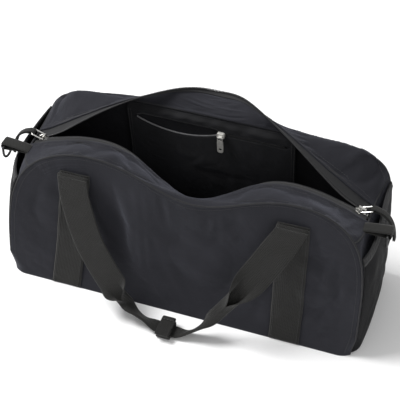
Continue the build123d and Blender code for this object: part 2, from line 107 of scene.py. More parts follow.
webbing_width = 40.0
lining_thick = 1.0
stitch_lift = 0.12        # how far a stitch's middle lies off the cloth's face
webbing_lift = 0.1        # and sewn webbing or its stitches
face_name = {True: "front", False: "back"}


# ---- The bag's curves, on arrays ----
def ease(u):
    u = np.clip(u, 0.0, 1.0)
    return u * u * (3 - 2 * u)


def arch(side, front):
    """Height and superellipse power of a panel's arch, for its left or right half."""
    left, right = front_shoulders if front else back_shoulders
    return (front_height if front else back_height), np.where(np.asarray(side) > 0, right, left)


def outline_x(z, side, front):
    """Distance from the middle to the side seam at height z."""
    height, power = arch(side, front)
    return half_length * (1 - np.clip(z / height, 0, 1) ** power) ** (1 / power)


def slump(x, z):
    """How far the front panel's cloth has dropped at a point of the unslumped panel."""
    deep = np.exp(-(((x - front_sag_x) / front_sag_width) ** 2))
    return front_sag * deep * (np.clip(z, 0, None) / front_height) ** 6


def panel_y(z, front):
    y = depth / 2 - panel_lean * z
    return -y if front else y


def outline(angle, front):
    """Points (x, z) on a panel's seam; 0 is the right foot, pi the left."""
    height, power = arch(np.cos(angle), front)
    reach = (np.abs(np.cos(angle)) ** power + np.abs(np.sin(angle)) ** power) ** (-1 / power)
    x, z = half_length * reach * np.cos(angle), height * reach * np.sin(angle)
    return x, (z - slump(x, z) if front else z)


def seam_points(front, low, count):
    """Even points on an arched seam, from its right foot to its left, both at height low."""
    x, z = outline(np.linspace(0, pi, 2401), front)
    run = np.concatenate(([0], np.cumsum(np.hypot(np.diff(x), np.diff(z)))))
    above = np.flatnonzero(z > low)
    rise = slice(max(above[0] - 1, 0), above[0] + 1)
    fall = slice(above[-1], above[-1] + 2)
    start = np.interp(low, z[rise], run[rise])
    end = np.interp(-low, -z[fall], run[fall])
    even = np.linspace(start, end, count)
    x, z = np.interp(even, run, x), np.interp(even, run, z)
    return np.column_stack((x, panel_y(z, front), z))


def end_x(z, side, v):
    """Half length of the bag at height z, between the front seam (v 0) and the back seam (v 1)."""
    front_x, back_x = outline_x(z, side, True), outline_x(z, side, False)
    return front_x + (back_x - front_x) * v


def cross_z(v):
    """Height of the seam between an end panel and the top strips."""
    return cross_front_z + (cross_back_z - cross_front_z) * v - cross_seam_dip * 4 * v * (1 - v)


def cross_seam(side, v):
    """The seam between an end panel and the top strips; v is 0 at the front, 1 at the back."""
    v = np.asarray(v, float)
    z = cross_z(v)
    bow = 4 * v * (1 - v)
    x = end_x(z, side, v) * (1 - bow) + cross_seam_x * bow
    return np.stack(np.broadcast_arrays(side * x, (2 * v - 1) * panel_y(z, False), z), -1)


def end_point(z, v, side, gape=0.0):
    """A point on an end panel at height z; v runs from the front seam to the back seam."""
    top = cross_z(v)
    lift = (z / top) ** 2
    bulge = 3 + (cross_seam_x - end_x(top, side, v) - 3) * lift + 9 * (1 - lift) * z / top
    x = end_x(z, side, v) + (bulge + gape) * 4 * v * (1 - v)
    return np.stack(np.broadcast_arrays(side * x, (2 * v - 1) * panel_y(z, False), z), -1)


def closed_zip_z(x):
    return zip_top - zip_radius + np.sqrt(zip_radius ** 2 - x ** 2)


def fold_angle(x, front):
    """How far a zip lip is folded open at x, in radians from closed."""
    u = np.minimum(np.abs(x) / zip_half, 1)
    if front:
        slumped = front_fold * np.exp(-((x / front_fold_width) ** 2))
        return slumped - front_lift * u ** 2 * (1 - u ** 6)
    soft = 0.12
    tent = (1 - np.sqrt((u ** 2 + soft ** 2) / (1 + soft ** 2))) / (1 - soft / sqrt(1 + soft ** 2))
    peak = np.exp(-((x / back_peak_width) ** 2))
    return back_fold * (tent * (1 - back_peak) + peak * back_peak)


def turned(y, z, angle):
    return y * np.cos(angle) - z * np.sin(angle), y * np.sin(angle) + z * np.cos(angle)


strip_seams = {
    True: seam_points(True, cross_front_z, 401),
    False: seam_points(False, cross_back_z, 401),
}


def strip_curve(q, s, front, opened=1.0):
    """A top strip: q runs -1 to 1 along the bag, s from the side seam to the zip lip."""
    row = strip_seams[front]
    place = (1 - q) / 2 * (len(row) - 1)
    seam = np.stack([np.interp(place, np.arange(len(row)), row[:, i]) for i in range(3)], -1)
    hinge = front_hinge if front else back_hinge
    sign = 1.0 if front else -1.0
    x = q * cross_seam_x
    fold = -fold_angle(x, front) * opened
    y, z = turned(-sign * lip_clear - hinge[1], closed_zip_z(x) - hinge[2], fold)
    lip = np.stack((x, hinge[1] + y, hinge[2] + z), -1)
    back_y, back_z = turned(-sign, 0.0, fold)
    inwards, upwards, stretch = puff[front]
    span = np.linalg.norm(lip - seam, axis=-1, keepdims=True)
    one = seam + np.array([0, inwards * sign, upwards]) * stretch * span
    two = lip + np.stack((0 * x, back_y + 0 * x, back_z + 0 * x), -1) * 0.34 * span
    s = np.asarray(s)[..., None]
    return ((1 - s) ** 3 * seam + 3 * (1 - s) ** 2 * s * one
            + 3 * (1 - s) * s ** 2 * two + s ** 3 * lip)


def strip_point(q, s, front, opened=1.0):
    """The strip's curve, led into the cross seam near either end of the bag."""
    q, s = np.broadcast_arrays(np.asarray(q, float), np.asarray(s, float))
    share = s * (0.5 - lip_clear / (2 * panel_y(cross_front_z, False)))
    lead = ease((np.abs(q) - 0.8) / 0.2)[..., None]
    point = strip_curve(q, s, front, opened)
    for side in (-1, 1):
        rim = cross_seam(side, share if front else 1 - share)
        end = strip_curve(np.full_like(q, side), s, front, opened)
        point = point + (rim - end) * lead * (np.sign(q) == side)[..., None]
    return point


# ---- Mesh builders ----
def grid_normals(grid):
    normal = np.cross(np.gradient(grid, axis=0), np.gradient(grid, axis=1))
    return normal / np.maximum(np.linalg.norm(normal, axis=2, keepdims=True), 1e-9)


def spans(first, second):
    """Two even spans (start, end, count), set to run down and across a grid."""
    return np.linspace(*first)[:, None], np.linspace(*second)[None]


def run_lengths(points):
    """Distance travelled along a line of points."""
    steps = np.linalg.norm(np.diff(points, axis=0), axis=1)
    return np.concatenate(([0], np.cumsum(steps)))


def new_piece(name, points, faces, materials, kinds=None, uv=None):
    """A mesh object from points in mm. uv is given in mm for every point."""
    mesh = bpy.data.meshes.new(name)
    mesh.from_pydata((np.asarray(points).reshape(-1, 3) * MM).tolist(), [], faces)
    mesh.update()
    for material in materials:
        mesh.materials.append(material)
    if kinds is not None:
        mesh.polygons.foreach_set("material_index", np.asarray(kinds, np.int32))
    if uv is not None:
        layer = mesh.uv_layers.new(name="Cloth")
        loops = np.zeros(len(mesh.loops), np.int32)
        mesh.loops.foreach_get("vertex_index", loops)
        cloth = (np.asarray(uv).reshape(-1, 2)[loops] * MM).astype(np.float32)
        layer.data.foreach_set("uv", cloth.ravel())
    mesh.polygons.foreach_set("use_smooth", np.full(len(mesh.polygons), True))
    piece = bpy.data.objects.new(name, mesh)
    scene.collection.objects.link(piece)
    return piece


def dress(piece, node=None, body="bag"):
    """Hang a piece on the body it rides on, and hide the CAD node it stands for.

    A piece that bends between two bodies has no body here; it is blended on its own."""
    if body:
        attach(piece, body)
    if node:
        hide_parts(node)


def grid_faces(rows, columns):
    """The faces of a grid of points, as rows of four indices."""
    index = np.arange(rows * columns).reshape(rows, columns)
    corners = (index[:-1, :-1], index[1:, :-1], index[1:, 1:], index[:-1, 1:])
    return np.stack(corners, -1).reshape(-1, 4)


def grid_uv(grid):
    """Cloth coordinates in mm from a grid's own lengths."""
    middle_row, middle_column = grid.shape[0] // 2, grid.shape[1] // 2
    along = run_lengths(grid[:, middle_column])
    across = run_lengths(grid[middle_row])
    return np.stack(np.meshgrid(along, across, indexing="ij"), -1)


def sheet(name, grid, thickness, materials, body="bag", stands_for=True, offset=0.0, uv=None):
    """A closed two sided cloth sheet round a grid of middle points, dressed for its body.

    materials are the outside, the inside and the edge. The piece stands for the CAD node of its
    name unless told that there is none."""
    normal = grid_normals(grid)
    rows, columns = grid.shape[:2]
    upper = grid + normal * (offset + thickness / 2)
    lower = grid + normal * (offset - thickness / 2)
    points = np.vstack((upper.reshape(-1, 3), lower.reshape(-1, 3)))
    index = np.arange(rows * columns).reshape(rows, columns)
    top = grid_faces(rows, columns)
    under = top[:, ::-1] + rows * columns
    rim = np.concatenate((index[0], index[1:, -1], index[-1, -2::-1], index[-2:0:-1, 0]))
    ahead = np.roll(rim, -1)
    edge = np.stack((rim, ahead, ahead + rows * columns, rim + rows * columns), -1)
    faces = np.vstack((top, under, edge)).tolist()
    kinds = np.repeat([0, 1, 2], [len(top), len(under), len(edge)])
    cloth = (grid_uv(grid) if uv is None else uv).reshape(-1, 2)
    piece = new_piece(name, points, faces, materials, kinds, np.vstack((cloth, cloth)))
    dress(piece, name if stands_for else None, body)
    return piece


def loft(name, sections, materials, uv):
    """A closed skin over rings of points; every ring has the same number of points."""
    rings, around = sections.shape[:2]
    index = np.arange(rings * around).reshape(rings, around)
    ahead = np.roll(index, -1, axis=1)
    faces = np.stack((index[:-1], index[1:], ahead[1:], ahead[:-1]), -1).reshape(-1, 4).tolist()
    faces += [index[0][::-1].tolist(), index[-1].tolist()]
    return new_piece(name, sections, faces, materials, uv=uv)


def rounded_box(turn, reach_x, reach_y, power):
    """Points of a rounded rectangle, from a superellipse of the given power."""
    return [reach * np.sign(wave) * np.abs(wave) ** (2 / power)
            for reach, wave in ((reach_x, np.cos(turn)), (reach_y, np.sin(turn)))]


def unit(vectors):
    return vectors / np.maximum(np.linalg.norm(vectors, axis=-1, keepdims=True), 1e-9)


def frames_along(path, across):
    """Tangent, across and outward vectors at each point of a path."""
    way = unit(np.gradient(path, axis=0))
    across = unit(across - way * np.sum(across * way, -1, keepdims=True))
    return way, across, np.cross(way, across)


def ring_uv(path, around):
    """Cloth coordinates of rings along a path; around is each point's place across the cloth."""
    return np.stack(np.broadcast_arrays(run_lengths(path)[:, None], around), -1)


def ribbon(name, path, across, width, thickness, materials, steps=8):
    """Flat webbing along a path, with softly rounded edges."""
    _, side, out = frames_along(path, across)
    u = np.linspace(-1, 1, steps + 1)
    level = thickness / 2 * (1 - np.abs(u) ** 8 * 0.55)
    offsets = np.concatenate((u, u[::-1]))
    levels = np.concatenate((level, -level[::-1]))
    width = np.broadcast_to(np.asarray(width, float), (len(path),))
    rings = (path[:, None] + side[:, None] * (offsets[None, :, None] * width[:, None, None] / 2)
             + out[:, None] * levels[None, :, None])
    return loft(name, rings, materials, ring_uv(path, offsets[None] * width[:, None] / 2))


def tube(name, path, radius, materials, sides=10):
    """A round cord along a path."""
    way = unit(np.gradient(path, axis=0))
    seed = np.where(np.abs(way[:, 2:3]) > 0.9, [[1.0, 0, 0]], [[0, 0, 1.0]])
    side = unit(np.cross(way, seed))
    for i in range(1, len(side)):
        side[i] = side[i - 1] - way[i] * (side[i - 1] @ way[i])
        side[i] /= np.linalg.norm(side[i])
    out = np.cross(way, side)
    turn = np.linspace(0, 2 * pi, sides, endpoint=False)
    radius = np.broadcast_to(np.asarray(radius, float), (len(path),))[:, None, None]
    rings = (path[:, None] + side[:, None] * np.cos(turn)[None, :, None] * radius
             + out[:, None] * np.sin(turn)[None, :, None] * radius)
    return loft(name, rings, materials, ring_uv(path, turn[None] * 1.6))


def spread(path, count):
    """A number of evenly spaced points along a path."""
    run = run_lengths(path)
    even = np.linspace(0, run[-1], count)
    return np.stack([np.interp(even, run, path[:, i]) for i in range(3)], -1)


def resample(path, spacing):
    return spread(path, max(2, int(round(run_lengths(path)[-1] / spacing)) + 1))


def smooth_path(points, count):
    """An evenly spaced smooth path through a few points (Catmull-Rom)."""
    points = np.asarray(points, float)
    ends = np.vstack((2 * points[0] - points[1], points, 2 * points[-1] - points[-2]))
    out = []
    for i in range(1, len(ends) - 2):
        a, b, c, d = ends[i - 1:i + 3]
        t = np.linspace(0, 1, 24, endpoint=False)[:, None]
        out.append(0.5 * (2 * b + (c - a) * t + (2 * a - 5 * b + 4 * c - d) * t ** 2
                          + (3 * b - a - 3 * c + d) * t ** 3))
    return spread(np.vstack(out + [ends[-2:-1]]), count)


class Gathering:
    """Collects many small lofted shapes into one mesh, each point tagged with its shape's tag."""

    def __init__(self):
        self.points, self.faces, self.tags = [], [], []

    def add(self, rings, tag=0.0):
        first = len(self.points)
        count, around = rings.shape[:2]
        self.points.extend(rings.reshape(-1, 3).tolist())
        self.tags.extend([tag] * (count * around))
        index = first + np.arange(count * around).reshape(count, around)
        ahead = np.roll(index, -1, axis=1)
        sides = np.stack((index[:-1], ahead[:-1], ahead[1:], index[1:]), -1)
        self.faces.extend(sides.reshape(-1, 4).tolist())
        self.faces.append(index[0][::-1].tolist())
        self.faces.append(index[-1].tolist())

    def piece(self, name, material):
        return new_piece(name, self.points, self.faces, [material])


def at_run(place, run, field):
    """A field of vectors along a line, read at one distance."""
    return np.array([np.interp(place, run, field[:, i]) for i in range(3)])


stitch_girth = ((-1.0, 0.25), (-0.7, 0.9), (0.0, 1.0), (0.7, 0.9), (1.0, 0.25))


def stitch_row(name, lines, normals, material, pitch=3.6, length=2.5, thread=0.32):
    """Rows of raised thread stitches along the given lines, tagged by (line, share along it)."""
    turn = np.linspace(0, 2 * pi, 6, endpoint=False)[:, None]
    rows = Gathering()
    for number, (line, normal) in enumerate(zip(lines, normals)):
        run = run_lengths(line)
        for middle in np.arange(pitch / 2, run[-1], pitch):
            centre = at_run(middle, run, line)
            up = unit(at_run(middle, run, normal))
            ahead = at_run(min(middle + 0.5, run[-1]), run, line)
            behind = at_run(middle - 0.5, run, line)
            way = unit(ahead - behind)
            side = np.cross(up, way)
            rings = [centre + way * along * length / 2
                     + (side * np.cos(turn) * 1.2 + up * np.sin(turn)) * thread * girth
                     for along, girth in stitch_girth]
            rows.add(np.array(rings), (number, middle / run[-1]))
    return rows.piece(name, material), np.array(rows.tags)


# ---- Cloth simulation ----
def settle(grid, rest, pinned, frames=18, gravity=0.25, pressure=0.0, stiff=1.2, cap=14.0):
    """Let a grid of cloth, pinned where told, relax from its drawn shape to real folds.

    rest is the cloth's unstretched shape; no point moves further than cap mm."""
    piece = new_piece("settling", grid, grid_faces(*grid.shape[:2]).tolist(), [])
    piece.shape_key_add(name="drawn")
    key = piece.shape_key_add(name="rest")
    key.data.foreach_set("co", (rest.reshape(-1, 3) * MM).astype(np.float32).ravel())
    key.value = 0
    group = piece.vertex_groups.new(name="pinned")
    group.add(np.flatnonzero(pinned.ravel()).tolist(), 1.0, "REPLACE")
    cloth = piece.modifiers.new("Cloth", "CLOTH")
    cloth.settings.quality = 6
    cloth.settings.mass = 0.12
    cloth.settings.tension_stiffness = 18
    cloth.settings.compression_stiffness = 18
    cloth.settings.shear_stiffness = 6
    cloth.settings.bending_stiffness = stiff
    cloth.settings.air_damping = 2
    cloth.settings.vertex_group_mass = "pinned"
    cloth.settings.rest_shape_key = key
    cloth.settings.use_pressure = pressure != 0
    cloth.settings.uniform_pressure_force = pressure
    cloth.settings.effector_weights.gravity = gravity
    cloth.collision_settings.use_collision = False
    cloth.point_cache.frame_start = 1
    cloth.point_cache.frame_end = frames + 1
    for frame_number in range(1, frames + 1):
        scene.frame_set(frame_number)
    solved = piece.evaluated_get(bpy.context.evaluated_depsgraph_get())
    settled = np.zeros(grid.size, np.float32)
    solved.data.vertices.foreach_get("co", settled)
    settled = settled.reshape(grid.shape).astype(float) / MM
    mesh = piece.data
    bpy.data.objects.remove(piece)
    bpy.data.meshes.remove(mesh)
    scene.frame_set(1)
    shift = settled - grid
    far = np.linalg.norm(shift, axis=2, keepdims=True)
    return grid + shift * np.minimum(1, cap / np.maximum(far, 1e-6))


def edge_pins(shape):
    """Pins round the rim of a grid."""
    pinned = np.zeros(shape[:2], bool)
    pinned[[0, -1]] = pinned[:, [0, -1]] = True
    return pinned


# ---- Materials ----
def opaque(red, green, blue):
    return (red, green, blue, 1.0)


class Shading:
    """Adds and joins the nodes of one material."""

    def __init__(self, name, roughness=0.8, metallic=0.0, sheen=0.0):
        self.material = bpy.data.materials.new(name)
        self.material.use_nodes = True
        self.tree = self.material.node_tree
        self.shader = self.tree.nodes["Principled BSDF"]
        self.shader.inputs["Roughness"].default_value = roughness
        self.shader.inputs["Metallic"].default_value = metallic
        self.shader.inputs["Sheen Weight"].default_value = sheen
        self.shader.inputs["Sheen Roughness"].default_value = 0.45
        self.height = None

    def put(self, value, socket):
        if hasattr(value, "is_output"):
            self.tree.links.new(value, socket)
        else:
            socket.default_value = value

    def math(self, operation, a, b=0.0):
        node = self.tree.nodes.new("ShaderNodeMath")
        node.operation = operation
        self.put(a, node.inputs[0])
        self.put(b, node.inputs[1])
        return node.outputs[0]

    def mixed(self, *terms):
        """The sum of some values, each times its share."""
        total = None
        for value, share in terms:
            part = self.math("MULTIPLY", value, share)
            total = part if total is None else self.math("ADD", total, part)
        return total

    def rough(self, base, value, rise):
        """Roughness that climbs from base by up to rise with a value."""
        climb = self.math("MULTIPLY", value, rise)
        self.put(self.math("ADD", base, climb), self.shader.inputs["Roughness"])

    def cloth(self):
        """The piece's own cloth coordinates, in metres."""
        node = self.tree.nodes.new("ShaderNodeUVMap")
        node.uv_map = "Cloth"
        return node.outputs["UV"]

    def place(self):
        node = self.tree.nodes.new("ShaderNodeTexCoord")
        return node.outputs["Object"]

    def split(self, vector):
        node = self.tree.nodes.new("ShaderNodeSeparateXYZ")
        self.put(vector, node.inputs[0])
        return node.outputs["X"], node.outputs["Y"]

    def noise(self, vector, size, detail=2.0):
        """Cloudy noise with features about size metres across."""
        node = self.tree.nodes.new("ShaderNodeTexNoise")
        self.put(vector, node.inputs["Vector"])
        node.inputs["Scale"].default_value = 1 / size
        node.inputs["Detail"].default_value = detail
        return node.outputs["Fac"]

    def ramp(self, value, low, high):
        node = self.tree.nodes.new("ShaderNodeMapRange")
        self.put(value, node.inputs["Value"])
        node.inputs["From Min"].default_value = low
        node.inputs["From Max"].default_value = high
        return node.outputs[0]

    def blend(self, share, first, second):
        node = self.tree.nodes.new("ShaderNodeMix")
        node.data_type = "RGBA"
        self.put(share, node.inputs["Factor"])
        for end, colour in (("A", first), ("B", second)):
            linked = hasattr(colour, "is_output")
            self.put(colour if linked else opaque(*colour), node.inputs[end])
        return node.outputs["Result"]

    def wave(self, value, pitch, offset=0.0):
        """A sine of a length in metres."""
        turned_value = self.math("MULTIPLY", value, 2 * pi / pitch)
        return self.math("SINE", self.math("ADD", turned_value, offset))

    def bump(self, height, distance):
        """Stack a bump of the given depth in metres on those already there."""
        node = self.tree.nodes.new("ShaderNodeBump")
        self.put(height, node.inputs["Height"])
        node.inputs["Distance"].default_value = distance
        if self.height is not None:
            self.put(self.height, node.inputs["Normal"])
        self.height = node.outputs["Normal"]

    def done(self, colour):
        self.put(colour, self.shader.inputs["Base Color"])
        if self.height is not None:
            self.put(self.height, self.shader.inputs["Normal"])
        return self.material


def canvas_material(name, dark, light, sheen):
    """Plain woven cotton: a fine over-and-under weave, slubs and faint rubbed patches."""
    m = Shading(name, roughness=0.88, sheen=sheen)
    uv = m.cloth()
    u, v = m.split(uv)
    weave = m.math("MULTIPLY", m.wave(u, 0.0016), m.wave(v, 0.0016))
    slub = m.noise(uv, 0.004, 4.0)
    patch = m.ramp(m.noise(uv, 0.05, 3.0), 0.3, 0.75)
    shade = m.mixed((patch, 0.45), (slub, 0.35), (weave, 0.12))
    m.shader.inputs["Specular IOR Level"].default_value = 0.25
    m.shader.inputs["Sheen Tint"].default_value = opaque(0.75, 0.78, 0.95)
    m.rough(0.8, slub, 0.18)
    m.bump(m.noise(uv, 0.035, 2.0), 0.0022)
    m.bump(m.noise(uv, 0.009, 3.0), 0.0005)
    m.bump(weave, 0.00012)
    return m.done(m.blend(shade, dark, light))


def webbing_material(name, dark, light):
    """Ribbed cotton webbing: short ribs across it, each row shifted by half a rib; the ribs carry painted
    shade in their grooves and painted highlight on their crests.
    """
    m = Shading(name, roughness=0.82, sheen=0.12)
    u, v = m.split(m.cloth())
    row = m.math("GREATER_THAN", m.wave(v, 0.0042), 0.0)
    rib = m.wave(u, 0.0021, m.math("MULTIPLY", row, pi))
    lengthways = m.wave(v, 0.0021)
    weave = m.mixed((rib, 0.6), (lengthways, 0.4))
    wear = m.ramp(m.noise(m.cloth(), 0.02, 3.0), 0.35, 0.8)
    # Half of the colour follows the ribs' relief, as painted shade in the grooves and painted highlight on
    # the crests; the rest is random wear.
    shade = m.mixed((weave, 0.5), (wear, 0.45))
    m.shader.inputs["Specular IOR Level"].default_value = 0.3
    m.rough(0.72, wear, 0.2)
    m.bump(weave, 0.0004)
    return m.done(m.blend(shade, dark, light))


def twill_material(name, dark, light, roughness):
    """Smooth tape with a fine diagonal twill, for bindings and zip tapes."""
    m = Shading(name, roughness=roughness, sheen=0.1)
    u, v = m.split(m.cloth())
    twill = m.wave(m.math("ADD", u, v), 0.0015)
    patch = m.noise(m.cloth(), 0.012, 3.0)
    shade = m.mixed((twill, 0.2), (patch, 0.7))
    m.rough(roughness - 0.08, patch, 0.16)
    m.bump(patch, 0.0005)
    m.bump(twill, 0.0001)
    return m.done(m.blend(shade, dark, light))


def mesh_material():
    """Knitted pocket mesh: rows of small holes, offset row by row, in glossy yarn; the holes carry painted
    shade.
    """
    m = Shading("pocket_mesh", roughness=0.8, sheen=0.0)
    m.shader.inputs["Specular IOR Level"].default_value = 0.15
    u, v = m.split(m.cloth())
    pitch = 0.0042
    first, second = m.wave(m.math("ADD", u, v), pitch), m.wave(m.math("SUBTRACT", u, v), pitch)
    holes = m.math("MULTIPLY", first, second)
    yarn = m.ramp(holes, -0.1, 0.45)
    patch = m.noise(m.cloth(), 0.03, 2.0)
    m.rough(0.65, yarn, 0.2)
    m.bump(patch, 0.0008)
    m.bump(yarn, 0.0005)
    lit = m.blend(patch, (0.005, 0.005, 0.006), (0.011, 0.011, 0.0125))
    # Between the yarns the colour drops to near black: painted shade for the shadowed gap behind the knit,
    # which the opaque sheet does not show.
    return m.done(m.blend(yarn, (0.002, 0.002, 0.003), lit))


def metal_material(name, colour, roughness, metallic=1.0):
    """Plated metal with faint polishing marks and rubbed spots."""
    m = Shading(name, roughness=roughness, metallic=metallic)
    marks = m.noise(m.place(), 0.0006, 4.0)
    rubbed = m.ramp(m.noise(m.place(), 0.004, 3.0), 0.4, 0.8)
    m.rough(roughness, rubbed, 0.18)
    m.bump(marks, 0.00003)
    darker = tuple(0.72 * value for value in colour)
    return m.done(m.blend(rubbed, colour, darker))


def plastic_material(name, dark, light, roughness):
    """Moulded plastic with a fine grain and slightly uneven gloss."""
    m = Shading(name, roughness=roughness)
    grain = m.noise(m.place(), 0.0008, 3.0)
    wear = m.noise(m.place(), 0.006, 3.0)
    m.rough(roughness - 0.06, wear, 0.18)
    m.bump(grain, 0.00005)
    return m.done(m.blend(wear, dark, light))


def fleece_material(name, dark, light, hooked):
    """Touch-and-close tape: a mat of loops, or rows of stiff hooks."""
    m = Shading(name, roughness=0.9, sheen=0.25)
    u, v = m.split(m.cloth())
    hooks = m.math("MULTIPLY", m.wave(u, 0.0014), m.wave(v, 0.0014))
    loops = m.noise(m.cloth(), 0.0009, 4.0)
    height = hooks if hooked else loops
    m.bump(height, 0.0004)
    return m.done(m.blend(m.ramp(height, 0.2, 0.8), dark, light))


def thread_material(name, colour):
    """Twisted sewing thread."""
    m = Shading(name, roughness=0.6, sheen=0.2)
    twist = m.noise(m.place(), 0.0007, 2.0)
    m.bump(twist, 0.0001)
    darker = tuple(0.5 * value for value in colour)
    return m.done(m.blend(twist, darker, colour))


canvas = canvas_material("navy_canvas", (0.0096, 0.0097, 0.0128), (0.0212, 0.0214, 0.0272), 0.13)
lining = canvas_material("dark_lining", (0.004, 0.004, 0.005), (0.010, 0.010, 0.012), 0.05)
pocket_cloth = canvas_material("pocket_lining", (0.006, 0.006, 0.0068),
                               (0.0155, 0.0155, 0.017), 0.07)
webbing = webbing_material("black_webbing", (0.007, 0.0068, 0.0062), (0.019, 0.0185, 0.0168))
binding = twill_material("seam_binding", (0.0055, 0.0056, 0.0072), (0.0125, 0.0127, 0.016), 0.88)
hem_binding = twill_material("elastic_binding", (0.007, 0.007, 0.008), (0.019, 0.019, 0.021), 0.8)
tape_cloth = twill_material("zip_tape_twill", (0.005, 0.005, 0.006), (0.012, 0.012, 0.0135), 0.8)
pocket_mesh = mesh_material()
nickel = metal_material("nickel_plate", (0.78, 0.77, 0.74), 0.2)
pale_nickel = metal_material("satin_nickel", (0.62, 0.61, 0.58), 0.4, metallic=0.35)
black_plastic = plastic_material("black_acetal", (0.006, 0.006, 0.006), (0.014, 0.014, 0.015), 0.38)
coil_plastic = plastic_material("zip_coil", (0.012, 0.012, 0.013), (0.03, 0.03, 0.032), 0.35)
# The open lower lip's coil is the same black coil as the rest, painted light grey as painted highlight for
# the light it catches.
painted_highlight_coil = plastic_material("pocket_coil_painted_highlight", (0.16, 0.16, 0.165), (0.3, 0.3, 0.31), 0.35)
board_cloth = canvas_material("board_cover", (0.008, 0.008, 0.009), (0.02, 0.02, 0.022), 0.05)
loop_fleece = fleece_material("loop_tape", (0.008, 0.008, 0.009), (0.025, 0.025, 0.027), False)
hook_fleece = fleece_material("hook_tape", (0.006, 0.006, 0.007), (0.03, 0.03, 0.032), True)
thread = thread_material("navy_thread", (0.014, 0.0145, 0.019))
dark_thread = thread_material("black_thread", (0.009, 0.009, 0.009))


# ---- Shapes shared by the soft pieces ----
def ripples(points, wavelengths, seed):
    """Smooth seeded noise of about -1 to 1, from cosines in random directions."""
    maker = np.random.default_rng(seed)
    total = np.zeros(points.shape[:-1])
    for wavelength in wavelengths:
        for _ in range(3):
            way = unit(maker.normal(size=3))
            total += np.cos(points @ way * (2 * pi / wavelength) + maker.uniform(0, 2 * pi))
    return total / (1.4 * sqrt(3 * len(wavelengths)))


def facing(grid, outwards):
    """The grid, turned over if its normals point against the given direction."""
    mean = grid_normals(grid).reshape(-1, 3).mean(0)
    return grid if mean @ np.array(outwards) > 0 else grid[::-1]


corner_radius = 24.0
corner_height = 46.0


def soft_corners(points):
    """Round the bag's four upright edges off near the floor, as slack cloth does."""
    points = np.array(points, float)
    z = points[..., 2]
    radius = corner_radius * (1 - ease(z / corner_height)) + 1e-6
    reach = np.stack((half_length + 3 + 0 * z, depth / 2 - panel_lean * z), -1)
    plan = points[..., :2]
    into = np.abs(plan) - (reach - radius[..., None])
    inside = np.all(into > 0, axis=-1)
    longest = into.max(-1)
    squeezed = into * (longest / np.maximum(np.linalg.norm(into, axis=-1), 1e-9))[..., None]
    rounded = np.sign(plan) * (reach - radius[..., None] + squeezed)
    points[..., :2] = np.where(inside[..., None], rounded, plan)
    return points


def surface_of(grid):
    """A searchable surface from a grid of points."""
    faces = grid_faces(*grid.shape[:2]).tolist()
    return BVHTree.FromPolygons(grid.reshape(-1, 3).tolist(), faces)


def laid_on(tree, points, way, lift):
    """Points cast along way onto a surface, then lifted off it by lift mm; also the normals."""
    flat = np.asarray(points, float).reshape(-1, 3)
    way = Vector(way).normalized()
    placed, normals = [], []
    for point in flat:
        start = Vector(point) - way * 60
        hit, normal, _, _ = tree.ray_cast(start, way, 140)
        if hit is None:
            hit, normal, _, _ = tree.find_nearest(Vector(point))
        if normal.dot(way) > 0:
            normal = -normal
        placed.append(hit + normal * lift)
        normals.append(normal)
    shape = np.asarray(points).shape
    return np.array(placed).reshape(shape), np.array(normals).reshape(shape)


# ---- Front and back panels ----
def half_square(u, v, front, slumped):
    """Points of an arched panel from a half square, u -1 to 1 and v 0 to 1."""
    height, power = arch(u, front)
    norm = (np.abs(u) ** power + np.abs(v) ** power) ** (1 / power)
    scale = np.maximum(np.abs(u), np.abs(v)) / np.maximum(norm, 1e-9)
    x, z = half_length * u * scale, height * v * scale
    if front:
        z = z - slump(x, z) * slumped
    return x, z


def dent(x, z, at, size, slope=0.0):
    """A soft oval, 1 at its middle, slanted by slope of x for each step of z."""
    across = (x - at[0] - slope * (z - at[1])) / size[0]
    return np.exp(-(across ** 2) - ((z - at[1]) / size[1]) ** 2)


def relief(x, z, dents):
    """How far slack cloth stands out in mm: each dent's height, then its middle, size and slope."""
    return sum(height * dent(x, z, *oval) for height, *oval in dents)


panel_dents = {
    True: (
        (7.0, (-190, 120), (45, 70)),
        (8.0, (28, 96), (62, 58)),
        (6.5, (178, 100), (36, 70)),
        (-13.0, (-84, 112), (24, 56), -0.25),
        (-7.0, (118, 96), (15, 62), 0.2),
        (-5.0, (206, 96), (9, 50), -0.12),
        (-4.0, (190, 58), (7, 38), 0.35),
        (-3.0, (60, 150), (12, 34), 0.6),
        (-2.5, (-20, 150), (10, 30), -0.5),
    ),
    False: (
        (7.0, (-150, 95), (70, 70)),
        (7.5, (140, 90), (70, 65)),
        (3.0, (0, 70), (60, 50)),
        (-0.8, (-30, 150), (26, 40), 0.3),
    ),
}


def panel_cloth(front):
    """A drawn panel and its unstrained cloth, which has a little to spare everywhere."""
    u, v = spans((-1, 1, 151), (0, 1, 81))
    sign = -1 if front else 1
    x, z = half_square(u, v, front, 1.0)
    rim = np.minimum(1 - np.maximum(np.abs(u), v), v + 0 * u)
    fade = ease(rim / 0.16)
    flat = np.stack((x, panel_y(z, front), z), -1)
    out = relief(x, z, panel_dents[front]) + 1.1 * ripples(flat, (62, 34), 3 if front else 4)
    grid = flat + np.array([0, sign, 0]) * (out * fade)[..., None]
    loose_x, loose_z = half_square(u, v, front, 0.72 if front else 1.0)
    loose = np.stack((loose_x * 1.012, panel_y(loose_z, front), loose_z * 1.012), -1)
    return soft_corners(grid), loose


def panel(front):
    drawn, loose = panel_cloth(front)
    grid = settle(drawn.copy(), loose, edge_pins(drawn.shape), cap=11)
    if not front:
        inwards = np.minimum(panel_y(grid[..., 2], False), drawn[..., 1]) - grid[..., 1]
        grid[..., 1] += np.clip(inwards - 0.9, 0, None)
    grid = facing(grid, (0, -1 if front else 1, 0))
    name = f"{face_name[front]}_panel"
    sheet(name, grid, canvas_thick, [canvas, lining, canvas])
    return grid


front_grid = panel(True)
back_grid = panel(False)
front_surface = surface_of(front_grid)
back_surface = surface_of(back_grid)


